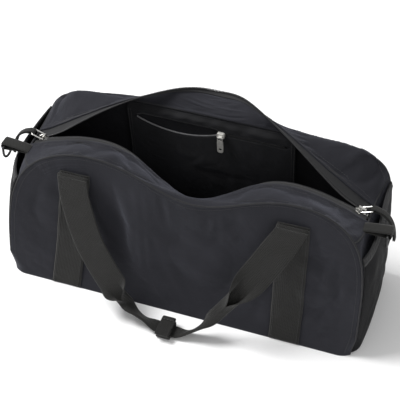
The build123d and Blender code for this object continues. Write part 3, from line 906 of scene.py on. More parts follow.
# ---- Base ----
def base_cloth():
    """The base, its rim tucked up to meet the four walls."""
    u, v = spans((-1, 1, 121), (-1, 1, 45))
    x = u * (half_length + 2.0 * (1 - v ** 2)) + 0 * v
    y = v * depth / 2 + 0 * u
    rim = np.minimum(1 - np.abs(u) * half_length / (half_length + 2), 1 - np.abs(v)) * depth / 2
    z = 0.9 + 1.1 * ease(1 - rim / 7)
    z = z + 0.5 * (0.5 + 0.5 * ripples(np.stack((x, y, 0 * x), -1), (70, 40), 8)) * ease(rim / 20)
    return soft_corners(np.stack((x, y, z), -1))


def base():
    grid = facing(base_cloth(), (0, 0, -1))
    sheet("bottom_panel", grid, canvas_thick, [canvas, lining, canvas])


def base_board():
    """The stiffening board in its cloth cover, with rounded corners and edges."""
    low, high = box_mm("base_board")
    rows = []
    level = [(0, 3.0), (0.3, 0.6), (1.5, 0.0), (2.7, 0.6), (3.0, 3.0)]
    turn = np.linspace(0, 2 * pi, 161)[:-1]
    for z, inset in level:
        x, y = rounded_box(turn, *((high[:2] - low[:2]) / 2 - inset), power=10)
        rows.append(np.column_stack((x, y, low[2] + z + 0 * x)))
    rings = np.array(rows)
    piece = loft("base_board", rings, [board_cloth], rings[..., :2])
    dress(piece, "base_board")


base()
base_board()


# ---- End panels and their mesh pockets ----
ends = {"left": -1, "right": 1}
seam_share = 0.001        # an end panel's cloth stops this share of the depth inside the seam


def end_relief(z, v, side):
    deep = 3.0 * np.sin(pi * v) * np.sin(pi * np.clip(z / cross_front_z, 0, 1))
    return deep * (0.4 if side > 0 else 0.9)


def end_panel(name, side):
    v = np.linspace(seam_share, 1 - seam_share, 61)[None]
    z = np.linspace(0.006, 1, 61)[:, None] * cross_z(v)
    grid = end_point(z, v, side)
    rim = edge_fade(grid.shape)
    shape = end_relief(z, v, side) - 0.8 + 0.9 * ripples(grid, (48, 27), 11 + side)
    grid = grid + np.array([side, 0, 0]) * (shape * rim)[..., None]
    loose = grid * np.array([1, 1.02, 1.02])
    grid = settle(soft_corners(grid), loose, edge_pins(grid.shape), cap=5)
    inner = end_point(z, v, side)
    over = side * (grid[..., 0] - inner[..., 0])
    grid[..., 0] -= side * np.clip(over - 1.0, 0, None)
    grid = facing(grid, (side, 0, 0))
    sheet(f"{name}_end_panel", grid, canvas_thick, [canvas, lining, canvas])


def edge_fade(shape, share=0.16):
    """1 over the middle of a grid, easing to 0 at its rim."""
    u, v = spans((0, 1, shape[0]), (0, 1, shape[1]))
    rim = np.minimum(np.minimum(u, 1 - u), np.minimum(v, 1 - v))
    return ease(rim / share)


hem_front_z = 152.0
hem_back_z = 178.0
hem_share = 0.064
hem_lift = 1.35            # from the middle of the hem to its row of stitches
pocket_span = (0.012, 0.988)   # the share of the depth that a mesh pocket covers


def pocket_shape(u, v, side):
    """The mesh pocket: it stands off the end panel and gapes at its hem; u is 0 to 1 upwards."""
    z = 2.0 + (hem_front_z + (hem_back_z - hem_front_z) * v - 2.0) * u
    point = end_point(z, v, side, 2.6 + 6.0 * u ** 2)
    point[..., 0] += side * 1.6
    return point


def mesh_pocket(name, side):
    u, v = spans((0, 1 - hem_share * 0.7, 61), (*pocket_span, 61))
    grid = pocket_shape(u, v, side)
    rim = edge_fade(grid.shape, 0.2)
    wave = 1.5 * ripples(grid, (55, 30), 21 + side)
    grid = grid + np.array([side, 0, 0]) * (np.abs(wave) * rim)[..., None]
    grid = facing(soft_corners(grid), (side, 0, 0))
    sheet(f"{name}_mesh_pocket", grid, 0.9, [pocket_mesh, pocket_mesh, hem_binding])


def pocket_hem(name, side):
    """A gathered elastic binding folded over the pocket's top edge."""
    v = np.linspace(*pocket_span, 160)
    u = np.linspace(1 - hem_share, 1, 7)
    gather = 0.35 * np.sin(v * depth * 2 * pi / 5.5)
    grid = pocket_shape(u[:, None], v[None], side)
    crown = np.sin(pi * np.linspace(0, 1, 7))[:, None]
    grid = grid + np.array([side, 0, 0]) * (crown * (0.5 + gather))[..., None]
    grid = facing(grid, (side, 0, 0))
    sheet(f"{name}_pocket_hem", grid, 2.4, [hem_binding] * 3)
    lines = [grid[2] if side < 0 else grid[-3]]
    normals = [grid_normals(grid)[2] if side < 0 else grid_normals(grid)[-3]]
    lifted = [line + normal * hem_lift for line, normal in zip(lines, normals)]
    stitches, _ = stitch_row(f"{name}_hem_stitches", lifted, normals, dark_thread)
    dress(stitches)


for name, side in ends.items():
    end_panel(name, side)
    mesh_pocket(name, side)
    pocket_hem(name, side)


# ---- Bound seams ----
def seam_cord(front):
    """A folded binding over the panel's raw edge: a soft cord, slightly lumpy."""
    path = resample(seam_points(front, 0.5, 500), 2.0)
    path = soft_corners(path)
    radius = seam_radius * 0.75 + 0.12 * ripples(path, (14, 7), 31)
    name = f"{face_name[front]}_seam_binding"
    piece = tube(name, path, radius, [binding], sides=12)
    dress(piece, name)


def cross_cord(name, side):
    path = cross_seam(side, np.linspace(0.01, 0.99, 90))
    radius = seam_radius * 0.8 + 0.1 * ripples(path, (14, 7), 33)
    piece = tube(f"{name}_cross_seam", path, radius, [binding], sides=12)
    dress(piece, f"{name}_cross_seam")


seam_cord(True)
seam_cord(False)
for name, side in ends.items():
    cross_cord(name, side)


# ---- Top strips, tapes and teeth, which fold with the zip ----
def lip_share(q, s, front):
    """How much of the lip's fold a point takes up, so that the lips meet when the zip is closed."""
    if front:
        return fold_angle(q * cross_seam_x, front) / front_fold * ease(np.asarray(s) / 0.85)
    shown = strip_point(q, s, front) - back_hinge
    shut = strip_point(q, s, front, 0.0) - back_hinge
    turn = np.arctan2(shut[..., 2], shut[..., 1]) - np.arctan2(shown[..., 2], shown[..., 1])
    turn = (turn + pi) % (2 * pi) - pi
    return np.clip(turn / back_fold, 0, 1)


def weigh(piece, weights):
    """Set every point's own share of a blend."""
    layer = piece.data.attributes["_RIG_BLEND"]
    layer.data.foreach_set("value", np.asarray(weights, np.float32).ravel())


def follow_lip(piece, weights, front):
    """Let a piece bend between the bag and a zip lip, with a weight for every point."""
    hinge = front_hinge if front else back_hinge
    start, end = hinge * MM, (hinge + np.array([0, 1.0 if front else -1.0, 0])) * MM
    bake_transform(piece, "bag", f"{face_name[front]}_lip", start=tuple(start), end=tuple(end))
    weigh(piece, weights)


# Small crease folds that run from a strip's seam towards the zip, placed by q and s.
strip_dents = {
    True: (
        (-3.4, (-0.60, 0.30), (0.035, 0.26), 0.12),
        (2.6, (-0.70, 0.45), (0.07, 0.30), 0.05),
        (-3.0, (-0.36, 0.42), (0.03, 0.28), -0.10),
        (2.4, (-0.46, 0.45), (0.05, 0.28), 0.05),
        (-2.6, (-0.20, 0.55), (0.03, 0.26), -0.12),
        (-3.0, (0.28, 0.55), (0.035, 0.30), 0.10),
        (2.2, (0.42, 0.45), (0.09, 0.32)),
        (-1.4, (0.62, 0.40), (0.04, 0.30), -0.1),
    ),
    False: (
        (2.2, (-0.3, 0.45), (0.2, 0.3)),
        (-1.8, (0.25, 0.5), (0.07, 0.35), 0.1),
        (-2.0, (-0.10, 0.5), (0.035, 0.3), 0.08),
        (-1.8, (0.10, 0.45), (0.03, 0.28), -0.06),
        (2.0, (0.62, 0.5), (0.12, 0.35)),
    ),
}


def top_strip(front):
    q, s = spans((-1, 1, 181), (0, 0.8, 41))
    share_q, share_s = np.broadcast_arrays(q, s)
    grid = strip_point(q, s, front)
    normal = grid_normals(grid) * (1 if front else -1)
    fade = ease(share_s / 0.1) * ease((0.8 - share_s) / 0.14) * ease((1 - np.abs(share_q)) / 0.06)
    folds = relief(share_q, share_s, strip_dents[front])
    shape = (folds + 0.7 * ripples(grid, (40, 22), 41)) * fade
    grid = grid + normal * shape[..., None]
    closed = strip_point(q, s, front, 0.0)
    loose = closed * np.array([1.01, 1.0, 1.0])
    grid = settle(grid, loose, edge_pins(grid.shape), frames=14, cap=5)
    weights = lip_share(share_q, share_s, front)
    if not front:
        grid, weights = grid[::-1], weights[::-1]
    name = f"{face_name[front]}_top_strip"
    # Shut, the back strip's faces change places in its middle, so both are the bag's canvas.
    inside = lining if front else canvas
    piece = sheet(name, grid, canvas_thick, [canvas, inside, canvas], body=None)
    follow_lip(piece, np.tile(weights.ravel(), 2), front)
    return grid if front else grid[::-1]


zip_drop = -1.5            # the tape and teeth sit this far under the lip's outer face
teeth_share = 0.985        # and the teeth at this share of the strip


def strip_line(front, s, reach, count):
    """Points along a strip at share s, from q -reach to reach, with outward normals and their q."""
    q = np.linspace(-reach, reach, count)
    near, here = strip_point(q, s - 0.02, front), strip_point(q, s, front)
    outward = unit(np.cross(np.gradient(here, axis=0), here - near)) * (1 if front else -1)
    return here, outward, q


def zip_tape(front):
    q, s = spans((-0.99, 0.99, 191), (0.75, 0.965, 9))
    share_q, share_s = np.broadcast_arrays(q, s)
    grid = strip_point(q, s, front)
    weights = lip_share(share_q, share_s, front)
    if not front:
        grid, weights = grid[::-1], weights[::-1]
    name = f"{face_name[front]}_zip_tape"
    piece = sheet(name, grid, 0.9, [tape_cloth] * 3, body=None, offset=zip_drop)
    follow_lip(piece, np.tile(weights.ravel(), 2), front)


def zip_teeth(front):
    """A coil's turns along the tape's edge, each a small rounded loop across the edge."""
    line, outward, q = strip_line(front, teeth_share, 0.955, 500)
    line = line + outward * zip_drop
    run = run_lengths(line)
    inward = unit(np.cross(np.gradient(line, axis=0), outward))
    turn = np.linspace(0, 2 * pi, 8, endpoint=False)[:, None]
    coil = Gathering()
    for place in np.arange(2.0, run[-1] - 2.0, 1.9):
        centre = at_run(place, run, line)
        up = unit(at_run(place, run, outward))
        across = unit(at_run(place, run, inward))
        way = np.cross(up, across)
        oval = across * np.cos(turn) * 1.7 + up * np.sin(turn) * 1.1
        rings = [centre + way * shift + oval * girth
                 for shift, girth in ((-0.8, 0.5), (-0.35, 1.0), (0.35, 1.0), (0.8, 0.5))]
        coil.add(np.array(rings), np.interp(place, run, q))
    name = f"{face_name[front]}_zip_teeth"
    piece = coil.piece(name, coil_plastic)
    follow_lip(piece, lip_share(np.array(coil.tags), teeth_share, front), front)
    dress(piece, name, body=None)


def seam_lift(front):
    """The lines of stitching along a strip: beside its seam, and beside its zip."""
    lines, normals, shares = [], [], []
    for s, reach in ((0.16, 0.985), (0.70, 0.96), (0.765, 0.96)):
        here, outward, q = strip_line(front, s, reach, 400)
        for i, point in enumerate(here):
            hit, normal, _, _ = strip_surfaces[front].find_nearest(Vector(point))
            normal = np.array(normal) * np.sign(np.array(normal) @ outward[i])
            here[i] = np.array(hit) + normal * (canvas_thick / 2 + stitch_lift)
            outward[i] = normal
        lines.append(here)
        normals.append(outward)
        shares.append((s, q))
    return lines, normals, shares


def strip_stitches(front):
    lines, normals, shares = seam_lift(front)
    name = f"{face_name[front]}_strip_stitches"
    piece, tags = stitch_row(name, lines, normals, thread)
    weights = np.zeros(len(tags))
    for number, (s, q) in enumerate(shares):
        run = run_lengths(lines[number])
        rows = tags[:, 0] == number
        here = np.interp(tags[rows, 1] * run[-1], run, q)
        weights[rows] = lip_share(here, s, front)
    follow_lip(piece, weights, front)


strip_surfaces = {}
for front in (True, False):
    strip_surfaces[front] = surface_of(top_strip(front))
    zip_tape(front)
    zip_teeth(front)
    strip_stitches(front)


# ---- Stitching beside the arched seams, on the panels ----
def panel_stitches(front):
    """A row of stitches on the panel, just inside its bound seam."""
    row = soft_corners(seam_points(front, 3.0, 420))
    middle = np.array([0, 0, 90.0])
    inwards = unit((middle - row) * np.array([1, 0, 1]))
    inset = row + inwards * 6.5
    tree = front_surface if front else back_surface
    line, normal = laid_on(tree, inset, (0, 1 if front else -1, 0), canvas_thick / 2 + stitch_lift)
    name = f"{face_name[front]}_seam_stitches"
    piece, _ = stitch_row(name, [line], [normal], thread)
    dress(piece)


panel_stitches(True)
panel_stitches(False)


# ---- Webbing sewn up the panels ----
leg_foot = {"left": -155.0, "right": 145.0}
leg_top = {"left": -140.0, "right": 142.0}
fold_z = 178.0


def sewn_webbing(which, front):
    """Webbing laid flat up the panel, from the base seam to the handle's fold."""
    foot, top = leg_foot[which], leg_top[which]
    z, across = spans((1.5, fold_z + 0.5, 90), (-1, 1, 13))
    lean = foot + (top - foot) * z / fold_z
    x = lean + across * webbing_width / 2
    plane = np.stack(np.broadcast_arrays(x, panel_y(z, front), z), -1)
    tree = front_surface if front else back_surface
    way = (0, 1 if front else -1, 0)
    grid, _ = laid_on(tree, soft_corners(plane), way,
                      canvas_thick / 2 + webbing_thick / 2 + webbing_lift)
    grid = facing(grid, (0, -1 if front else 1, 0))
    uv = np.stack(np.broadcast_arrays(z * 1.01, across * webbing_width / 2), -1)
    uv = uv if (grid[0, 0, 2] < grid[-1, 0, 2]) else uv[::-1]
    face = face_name[front]
    sheet(f"{face}_webbing_{which}", grid, webbing_thick, [webbing] * 3, uv=uv)
    normal = grid_normals(grid)
    lift = webbing_thick / 2 + webbing_lift
    lines = [(grid + normal * lift)[:, column] for column in (1, 11)]
    piece, _ = stitch_row(f"{face}_webbing_{which}_stitches", lines,
                          [normal[:, 1], normal[:, 11]], dark_thread, pitch=3.2, length=2.3)
    dress(piece)


for front in (True, False):
    for which in ends:
        sewn_webbing(which, front)


# ---- Handles ----
fold_sewn_y = 62.0        # a handle's fold turns from the sewn webbing at this depth
fold_free_y = 66.2        # to the free strap at this one
grip_y = -118.0
grip_z = 5.2
handle_plane_y = -66.0
handle_lean = (handle_plane_y - grip_y) / (fold_z - grip_z)
handle_curve = [(-140, 177), (-133, 146), (-111, 95), (-73, 45), (-38, 15), (0, grip_z),
                (30, 9), (60, 40), (101, 100), (128, 148), (142, 177)]
grip_tilt = radians(38)   # either side of its keeper the grip tips up on its edge
grip_core = 9.0           # half width of the grip's middle; the rest of the webbing folds over it


def hung(x, z):
    """A point of the slack handle, which leans out from its folds to the floor."""
    return np.stack((x, handle_plane_y - (fold_z - z) * handle_lean, z), -1)


def folded_section(fold, steps=17):
    """The webbing's cross section, its two edges turned over by fold radians; also its length."""
    t = np.linspace(0, webbing_width / 2, steps)
    angle = fold * ease((t - grip_core + 1.7) / 3.4)
    step = np.diff(t)
    mid = (angle[1:] + angle[:-1]) / 2
    across = np.concatenate(([0], np.cumsum(np.cos(mid) * step)))
    out = -np.concatenate(([0], np.cumsum(np.sin(mid) * step)))
    normal = np.column_stack((np.sin(angle), np.cos(angle)))
    half = np.column_stack((across, out))
    other = half[:0:-1] * (-1, 1)
    other_normal = normal[:0:-1] * (-1, 1)
    centre = np.vstack((other, half))
    normal = np.vstack((other_normal, normal))
    lengths = np.concatenate((-t[:0:-1], t))
    taper = 1 - 0.5 * (np.abs(lengths) / t[-1]) ** 12
    upper = centre + normal * (webbing_thick / 2 * taper)[:, None]
    lower = centre - normal * (webbing_thick / 2 * taper)[:, None]
    return np.vstack((upper, lower[::-1])), np.concatenate((lengths, lengths[::-1]))


def handle_frames(count=190):
    """The handle's middle line, its across and outward directions, and its share of the fold."""
    curve = np.array([(x, 0, z) for x, z in handle_curve], float)
    path = smooth_path(curve, count)
    u = np.linspace(0, 1, count)
    middle = hung(path[:, 0], path[:, 2])
    way = unit(np.gradient(middle, axis=0))
    flat = ease((u - 0.33) / 0.10) * ease((0.70 - u) / 0.12)
    folded = ease((u - 0.305) / 0.07) * ease((0.85 - u) / 0.18)
    edge_free = ease(np.minimum(u, 1 - u) / 0.12)[:, None]
    in_plane = unit(np.cross(np.array([0, 1, -handle_lean]), way))
    at_fold = np.where(u < 0.5, -1.0, 1.0)[:, None] * np.array([1.0, 0, 0])
    across = at_fold + (in_plane - at_fold) * edge_free
    turn = grip_tilt * ease((np.abs(middle[:, 0]) - 12) / 20)[:, None]
    lying = np.concatenate((0 * turn, -np.cos(turn), np.sin(turn)), axis=1)
    across = across + (lying - across) * flat[:, None]
    across = unit(across - way * np.sum(across * way, -1, keepdims=True) * edge_free)
    out = unit(np.cross(way, across))
    return middle, across, out, folded


def fold_turn(which, count=16):
    """The tight turn over the handle's fold, from the sewn webbing to the hanging strap."""
    x = leg_top[which]
    inner = -panel_y(fold_z, False) - canvas_thick / 2 - webbing_thick - 0.7
    outer = handle_plane_y
    turn = np.linspace(0, pi, count)
    middle_y, radius = (inner + outer) / 2, (inner - outer) / 2
    y = middle_y + radius * np.cos(turn)
    z = fold_z - 1.0 + max(radius, 1.3) * np.sin(turn)
    rise = np.column_stack((x + 0 * turn, y, z))
    below = np.array([[x, inner, fold_z - 2.5]])
    return np.vstack((below, rise))


def handle_sections():
    """Rings of points all along one handle, with their cloth coordinates."""
    middle, across, out, folded = handle_frames()
    fold = pi * folded * 0.985
    rings, shares = [], []
    for i in range(len(middle)):
        section, lengths = folded_section(fold[i])
        offset = section[:, 1] + (webbing_thick * 0.6 * fold[i] / pi)
        rings.append(middle[i] + across[i] * section[:, :1] + out[i] * offset[:, None])
        shares.append(lengths)
    return np.array(rings), ring_uv(middle, np.array(shares))


def handle(front):
    rings, uv = handle_sections()
    if not front:
        rings, uv = (rings * np.array([1, -1, 1]))[:, ::-1], uv[:, ::-1]
    name = f"{face_name[front]}_handle"
    body = f"{face_name[front]}_grab_handle"
    piece = loft(name, rings, [webbing], uv)
    dress(piece, name, body=body)


def handle_folds(front):
    """The short turns where the sewn webbing doubles over into the handle."""
    face = face_name[front]
    for which in ends:
        path = resample(fold_turn(which), 0.7)
        if not front:
            path = path * np.array([1, -1, 1])
        across = np.tile([1.0, 0, 0], (len(path), 1))
        piece = ribbon(f"{face}_handle_fold_{which}", path, across, webbing_width, webbing_thick,
                       [webbing])
        body = f"{face}_grab_handle"
        sign = 1 if front else -1
        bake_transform(piece, "bag", body, start=(0, -sign * fold_sewn_y * MM, fold_z * MM),
                 end=(0, -sign * fold_free_y * MM, fold_z * MM))


handle(True)
handle(False)
handle_folds(True)
handle_folds(False)


# ---- Keeper round the front grip ----
def keeper():
    """A webbing sleeve sewn round the folded grip, with a touch-and-close flap on top."""
    low, high = box_mm("handle_keeper")
    wall = 1.5
    half_y, half_z = (high[1] - low[1] - wall) / 2, (high[2] - low[2] - wall) / 2
    centre = (low + high) / 2
    turn = np.linspace(-0.5 * pi, 1.5 * pi, 65)
    y, z = rounded_box(turn, half_y, half_z, power=5)
    path = np.column_stack((centre[0] + 0 * y, centre[1] + y, centre[2] + z))
    across = np.tile([1.0, 0, 0], (len(path), 1))
    piece = ribbon("handle_keeper", path, across, high[0] - low[0], wall, [webbing])
    dress(piece, "handle_keeper", body="front_grab_handle")


def keeper_patch(node, body, material):
    low, high = box_mm(node)
    x, y = spans((low[0], high[0], 29), (low[1], high[1], 37))
    z = (low[2] + high[2]) / 2 + 0 * x + 0 * y
    grid = np.stack(np.broadcast_arrays(x, y, z), -1)
    sheet(node, grid, high[2] - low[2] - 0.05, [material] * 3, body)


def keeper_flap():
    """The flap over the patches, its free corners rounded and edges stitched down."""
    low, high = box_mm("keeper_flap")
    middle, half = (low + high) / 2, (high - low) / 2
    u, v = spans((-1, 1, 31), (-1, 1, 51))
    corner = 0.94 + 0.06 * np.sqrt(np.clip(1 - np.abs(v) ** 14, 0, 1))
    x = middle[0] + half[0] * u * corner
    y = middle[1] + half[1] * v + 0 * u
    droop = 0.7 * np.abs(v) ** 5
    z = middle[2] + 0.25 * np.cos(u * pi / 2) * (1 - v ** 2) - droop * (v < 0) + 0 * u
    grid = facing(np.stack((x, y, z), -1), (0, 0, 1))
    sheet("keeper_flap", grid, webbing_thick, [webbing] * 3, "keeper")
    normal = grid_normals(grid)
    lifted = grid + normal * (webbing_thick / 2 + 0.08)
    lines = [lifted[3], lifted[-4], lifted[3:-3, 3], lifted[3:-3, -4]]
    normals = [normal[3], normal[-4], normal[3:-3, 3], normal[3:-3, -4]]
    piece, _ = stitch_row("keeper_stitches", lines, normals, dark_thread,
                          pitch=2.6, length=1.9, thread=0.26)
    dress(piece, body="keeper")


def keeper_hinge():
    """Webbing sewn from the sleeve's back wall over the flap's edge; it bends as the flap opens."""
    low, high = box_mm("handle_keeper")
    flap_low, flap_high = box_mm("keeper_flap")
    back, foot, top = high[1] + 0.5, (low[2] + high[2]) / 2, flap_low[2] + 0.2
    radius = 2.2
    turn = np.linspace(0, pi / 2, 9)
    rise = [(0, back, z) for z in np.linspace(foot, top, 14)[:-1]]
    bend = [(0, back - radius + radius * cos(a), top + radius * sin(a)) for a in turn]
    over = [(0, back - radius - reach, top + radius) for reach in (1.5, 3.0, 4.5)]
    path = np.array(rise + bend + over)
    across = np.tile([1.0, 0, 0], (len(path), 1))
    width = 0.88 * (flap_high[0] - flap_low[0])
    piece = ribbon("keeper_hinge", path, across, width, 0.9, [webbing])
    start = np.array([0, back, top - 1.2]) * MM
    end = np.array([0, back - radius, top + radius]) * MM
    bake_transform(piece, "front_grab_handle", "keeper", start=tuple(start), end=tuple(end))


keeper()
keeper_hinge()
keeper_patch("keeper_loop_patch", "front_grab_handle", loop_fleece)
keeper_patch("keeper_hook_patch", "keeper", hook_fleece)
keeper_flap()


# ---- Rings' tabs and slider pulls ----
def ring_tab(name, side):
    """Webbing looped round the ring's bar, both ends caught in the cross seam."""
    low, high = box_mm(f"{name}_ring_tab")
    bar = np.array(joints[f"{name}_ring_swing"]["pos_m"]) / MM
    y = (low[1] + high[1]) / 2
    share = 0.5 + y / (2 * panel_y(cross_front_z, False))
    root = cross_seam(side, share)
    radius = 4.1
    turn = np.linspace(0.42 * pi, -0.5 * pi, 24)
    loop = np.column_stack((bar[0] + side * radius * np.cos(turn), y + 0 * turn,
                            bar[2] + radius * np.sin(turn)))
    start, finish = (np.array([[root[0] + side * out, y, root[2] + up] for out, up in part])
                     for part in (((-3, 2.2), (5, 4.2)), ((6, 1.3), (-2, 0.4))))
    path = resample(smooth_path(np.vstack((start, loop[::4], finish)), 90), 0.8)
    across = np.tile([0, 1.0, 0], (len(path), 1))
    piece = ribbon(f"{name}_ring_tab", path, across, high[1] - low[1], webbing_thick, [webbing])
    dress(piece, f"{name}_ring_tab")


def pull_loop(name, side):
    """A doubled strip of webbing through the bail, hanging off the bag's end."""
    eye = np.array(joints[f"{name}_pull_swing"]["pos_m"]) / MM
    radius = 2.1
    drop = [(3.5, 0.6), (12, -2.0), (20, -8.5), (25.5, -18), (28.5, -29), (30.0, -40)]
    centre = np.array([[eye[0] + side * a, eye[1], eye[2] + b] for a, b in drop])
    centre = smooth_path(centre, 60)
    way = unit(np.gradient(centre, axis=0))
    normal = np.column_stack((-way[:, 2], 0 * way[:, 0], way[:, 0])) * side
    gap = (webbing_thick * 0.5 + 0.05) + 0.9 * np.exp(-run_lengths(centre) / 4)[:, None]
    upper, lower = centre + normal * gap, centre - normal * gap
    turn = np.linspace(0.5 * pi, 1.5 * pi, 13)[1:-1]
    bend = np.column_stack((eye[0] + side * radius * np.cos(turn), eye[1] + 0 * turn,
                            eye[2] + radius * np.sin(turn)))
    path = np.vstack((upper[::-1], bend, lower))
    across = np.tile([0, 1.0, 0], (len(path), 1))
    piece = ribbon(f"{name}_pull_loop", path, across, 8.5, webbing_thick, [webbing])
    dress(piece, f"{name}_pull_loop", body=f"{name}_zip_pull")


for name, side in ends.items():
    ring_tab(name, side)
    pull_loop(name, side)


# ---- Inner zip pocket ----
pocket_half = 112.0
pocket_low_z = 62.0
pocket_high_z = 215.0
pocket_zip_z = 200.0
yoke_top_z = 219.0          # its cloth is caught in the back seam
pocket_zip_half = 100.0
pocket_slider_x = 15.0
pocket_slot = 5.0
pocket_yawn = 15.0         # how far the open stretch's lower lip has dropped
upper_yawn = 4.5           # and how far its upper lip can lift
panel_in = 5.6             # depths in from the back panel's middle
teeth_in = 4.9
tape_in = 4.4
pouch_in = 2.5
stitches_in = 6.3
least_in = 5.4             # the settled cloth comes no nearer to the back panel than this


def pocket_lip(x):
    u = np.clip((x + pocket_zip_half) / (pocket_zip_half + pocket_slider_x), 0, 1)
    return pocket_yawn * np.sin(pi * u) ** 0.8


def inside_back(x, z, depth_in):
    """A point on the back panel's plane at height z, moved into the bag by depth_in."""
    y = panel_y(z, False) - depth_in
    return np.stack(np.broadcast_arrays(x, y, z), -1)


def slot_edge(x, upper):
    """Height of the pocket opening's upper or lower cloth edge."""
    reach = pocket_slot * ease((pocket_zip_half + 4 - np.abs(x)) / 6)
    if upper:
        return pocket_zip_z + reach * 0.6 + np.minimum(pocket_lip(x), upper_yawn)
    return pocket_zip_z - reach * 0.6 - pocket_lip(x)


def mouth_share(x, z):
    """How much of the pocket lip's rise a point takes up."""
    rise = pocket_lip(x) / pocket_yawn
    return rise * ease((z - 120) / 60)


def follow_mouth(piece, weights):
    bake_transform(piece, "bag", "pocket_mouth", start=(0, 0.06, 0.12), end=(0, 0.06, 0.18))
    weigh(piece, weights)


def pocket_front():
    """The pocket's cloth below its zip, with soft creases."""
    x, v = spans((-pocket_half, pocket_half, 121), (0, 1, 71))
    top = slot_edge(x, False)
    z = pocket_low_z + (top - pocket_low_z) * v
    fade = edge_fade(z.shape, 0.14)
    creases = 1.2 * ripples(np.stack(np.broadcast_arrays(x, 0 * z, z * 1.6), -1), (50, 28), 51)
    creases = creases + 2.0 * dent(x, z, (-40, 150), (70, 9)) - 1.6 * dent(x, z, (30, 128), (60, 7))
    depth_in = panel_in + np.clip(creases + 1.2, -0.6, 5) * fade
    grid = inside_back(x, z, depth_in)
    loose = grid * np.array([1.008, 1.0, 1.02])
    grid = settle(grid, loose, edge_pins(grid.shape), frames=12, cap=4)
    near = panel_y(grid[..., 2], False) - grid[..., 1]
    grid[..., 1] -= np.clip(least_in - near, 0, None)
    grid = facing(grid, (0, -1, 0))
    weights = mouth_share(grid[..., 0], grid[..., 2]).ravel()
    piece = sheet("inner_pocket_panel", grid, lining_thick, [pocket_cloth, lining, pocket_cloth],
                  body=None)
    follow_mouth(piece, np.tile(weights, 2))


def pocket_yoke():
    """The strip of pocket cloth above its zip."""
    x, v = spans((-pocket_half, pocket_half, 121), (0, 1, 17))
    low = slot_edge(x, True)
    z = low + (yoke_top_z - low) * v
    wrinkles = 1.3 * ripples(np.stack(np.broadcast_arrays(x, 0 * z, 2 * z), -1), (46, 22), 52)
    depth_in = panel_in + wrinkles * np.sin(pi * v) - 4.2 * ease((v - 0.45) / 0.55)
    grid = facing(inside_back(x, z, depth_in), (0, -1, 0))
    sheet("inner_pocket_yoke", grid, lining_thick, [pocket_cloth, lining, pocket_cloth],
          stands_for=False)


def pocket_pouch():
    """The pocket's back layer, seen through its open mouth."""
    x, z = spans((-pocket_half + 2, pocket_half - 2, 91),
                 (pocket_low_z + 2, pocket_high_z - 1, 61))
    shape = np.stack(np.broadcast_arrays(x, 0 * z, z), -1)
    grid = inside_back(x, z, pouch_in + 0.25 * ripples(shape, (45, 25), 53))
    grid = facing(grid, (0, -1, 0))
    sheet("inner_pocket_pouch", grid, lining_thick, [lining] * 3)


def pocket_tape(upper):
    """One pocket zip tape with its coil along the free edge."""
    x, v = spans((-pocket_zip_half, pocket_zip_half, 141), (0, 1, 5))
    sign = 1 if upper else -1
    edge = np.minimum(pocket_lip(x), upper_yawn) if upper else pocket_lip(x)
    near = pocket_zip_z + sign * (1.3 + edge)
    z = near + sign * 6.6 * v
    grid = facing(inside_back(x, z, tape_in + 0 * z), (0, -1, 0))
    node = "upper_pocket_tape" if upper else "lower_pocket_tape"
    piece = sheet(node, grid, 0.8, [tape_cloth] * 3, "bag" if upper else None)
    if not upper:
        follow_mouth(piece, pocket_lip(np.tile(grid[..., 0].ravel(), 2)) / pocket_yawn)


def pocket_coil(name, x0, x1, height, lower, material, node=None):
    """Small coil turns between x0 and x1 along a height curve."""
    turn = np.linspace(0, 2 * pi, 8, endpoint=False)[:, None]
    coil = Gathering()
    for x in np.arange(x0, x1, 1.7):
        centre = inside_back(x, height(x), teeth_in)
        oval = np.hstack((0 * turn, np.cos(turn), np.sin(turn) * 1.15))
        rings = [centre + np.array([shift, 0, 0]) + oval * girth
                 for shift, girth in ((-0.7, 0.45), (-0.3, 1.0), (0.3, 1.0), (0.7, 0.45))]
        coil.add(np.array(rings), x)
    piece = coil.piece(name, material)
    dress(piece, node, None if lower else "bag")
    if lower:
        follow_mouth(piece, pocket_lip(np.array(coil.tags)) / pocket_yawn)


def pocket_seams():
    """Heavy stitching down both sides of the pocket."""
    lines, normals = [], []
    for side in (-1, 1):
        for inset in (1.5, 5.0):
            z = np.linspace(pocket_low_z + 1, pocket_high_z - 2, 60)
            lines.append(inside_back(side * (pocket_half - inset) + 0 * z, z, stitches_in))
            normals.append(np.tile([0, -1.0, -panel_lean], (len(z), 1)))
    piece, _ = stitch_row("inner_pocket_stitches", lines, normals, dark_thread,
                          pitch=5.0, length=3.8, thread=0.45)
    dress(piece)


pocket_front()
pocket_yoke()
pocket_pouch()
pocket_tape(True)
pocket_tape(False)
pocket_coil("pocket_zip_teeth", pocket_slider_x + 7, pocket_zip_half - 2,
            lambda x: pocket_zip_z, False, coil_plastic, "pocket_zip_teeth")
# The open lower lip's coil takes the painted-highlight grey; the upper lip and the closed stretch stay
# black.
pocket_coil("pocket_lower_coil", -pocket_zip_half + 1, pocket_slider_x - 5,
            lambda x: pocket_zip_z - 1.1 - pocket_lip(x), True, painted_highlight_coil)
pocket_coil("pocket_upper_coil", -pocket_zip_half + 1, pocket_slider_x - 5,
            lambda x: pocket_zip_z + 1.1 + min(float(pocket_lip(x)), upper_yawn), False,
            coil_plastic)
pocket_seams()


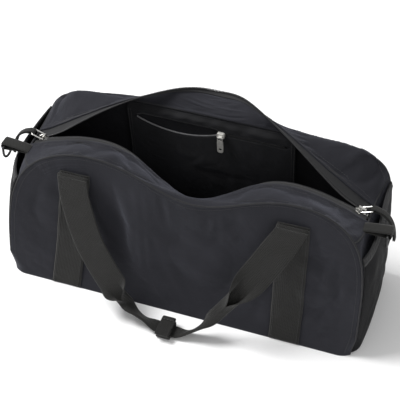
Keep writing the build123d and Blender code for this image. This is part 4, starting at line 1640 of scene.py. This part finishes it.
# ---- Metal and plastic parts keep their own shape ----
hard_parts = {
    "slider": nickel, "bail": nickel, "zip_end": nickel, "d_ring": black_plastic,
}
for name in ends:
    for part, material in hard_parts.items():
        frame["nodes"][f"{name}_{part}"].material_slots[0].material = material
for node in ("pocket_slider", "pocket_puller"):
    frame["nodes"][node].material_slots[0].material = pale_nickel


# ---- Floor, light and camera ----
def floor():
    mesh = bpy.data.meshes.new("floor")
    corners = [(-6, -6, 0), (6, -6, 0), (6, 6, 0), (-6, 6, 0)]
    mesh.from_pydata(corners, [], [(0, 1, 2, 3)])
    ground = bpy.data.objects.new("floor", mesh)
    scene.collection.objects.link(ground)
    white = bpy.data.materials.new("studio_floor")
    white.use_nodes = True
    shader = white.node_tree.nodes["Principled BSDF"]
    shader.inputs["Base Color"].default_value = opaque(0.92, 0.92, 0.92)
    shader.inputs["Roughness"].default_value = 0.9
    shader.inputs["Specular IOR Level"].default_value = 0.1
    mesh.materials.append(white)


def soft_light(name, place, target, size, power):
    lamp = bpy.data.lights.new(name, "AREA")
    lamp.shape = "DISK"
    lamp.size = size
    lamp.energy = power
    piece = bpy.data.objects.new(name, lamp)
    scene.collection.objects.link(piece)
    piece.location = place
    piece.rotation_euler = (Vector(target) - Vector(place)).to_track_quat("-Z", "Y").to_euler()


def studio():
    world = bpy.data.worlds.new("studio")
    world.use_nodes = True
    background = world.node_tree.nodes["Background"]
    background.inputs["Color"].default_value = opaque(1, 1, 1)
    background.inputs["Strength"].default_value = 0.62
    scene.world = world
    soft_light("key", (-1.1, -0.2, 1.9), (0, 0, 0.1), 0.9, 46)
    soft_light("fill", (1.6, -1.4, 1.2), (0, 0, 0.1), 1.2, 5)
    scene.view_settings.view_transform = "Standard"


def camera():
    azimuth, elevation, distance = radians(19.4), radians(42.0), 1.5
    target = Vector((-0.006, 0.029, 0.100))
    back = Vector((sin(azimuth) * cos(elevation), -cos(azimuth) * cos(elevation), sin(elevation)))
    lens = bpy.data.cameras.new("camera")
    lens.lens = 103.14
    lens.sensor_width = 36
    eye = bpy.data.objects.new("camera", lens)
    scene.collection.objects.link(eye)
    eye.location = target + back * distance
    eye.rotation_euler = back.to_track_quat("Z", "Y").to_euler()
    scene.camera = eye


floor()
studio()
camera()
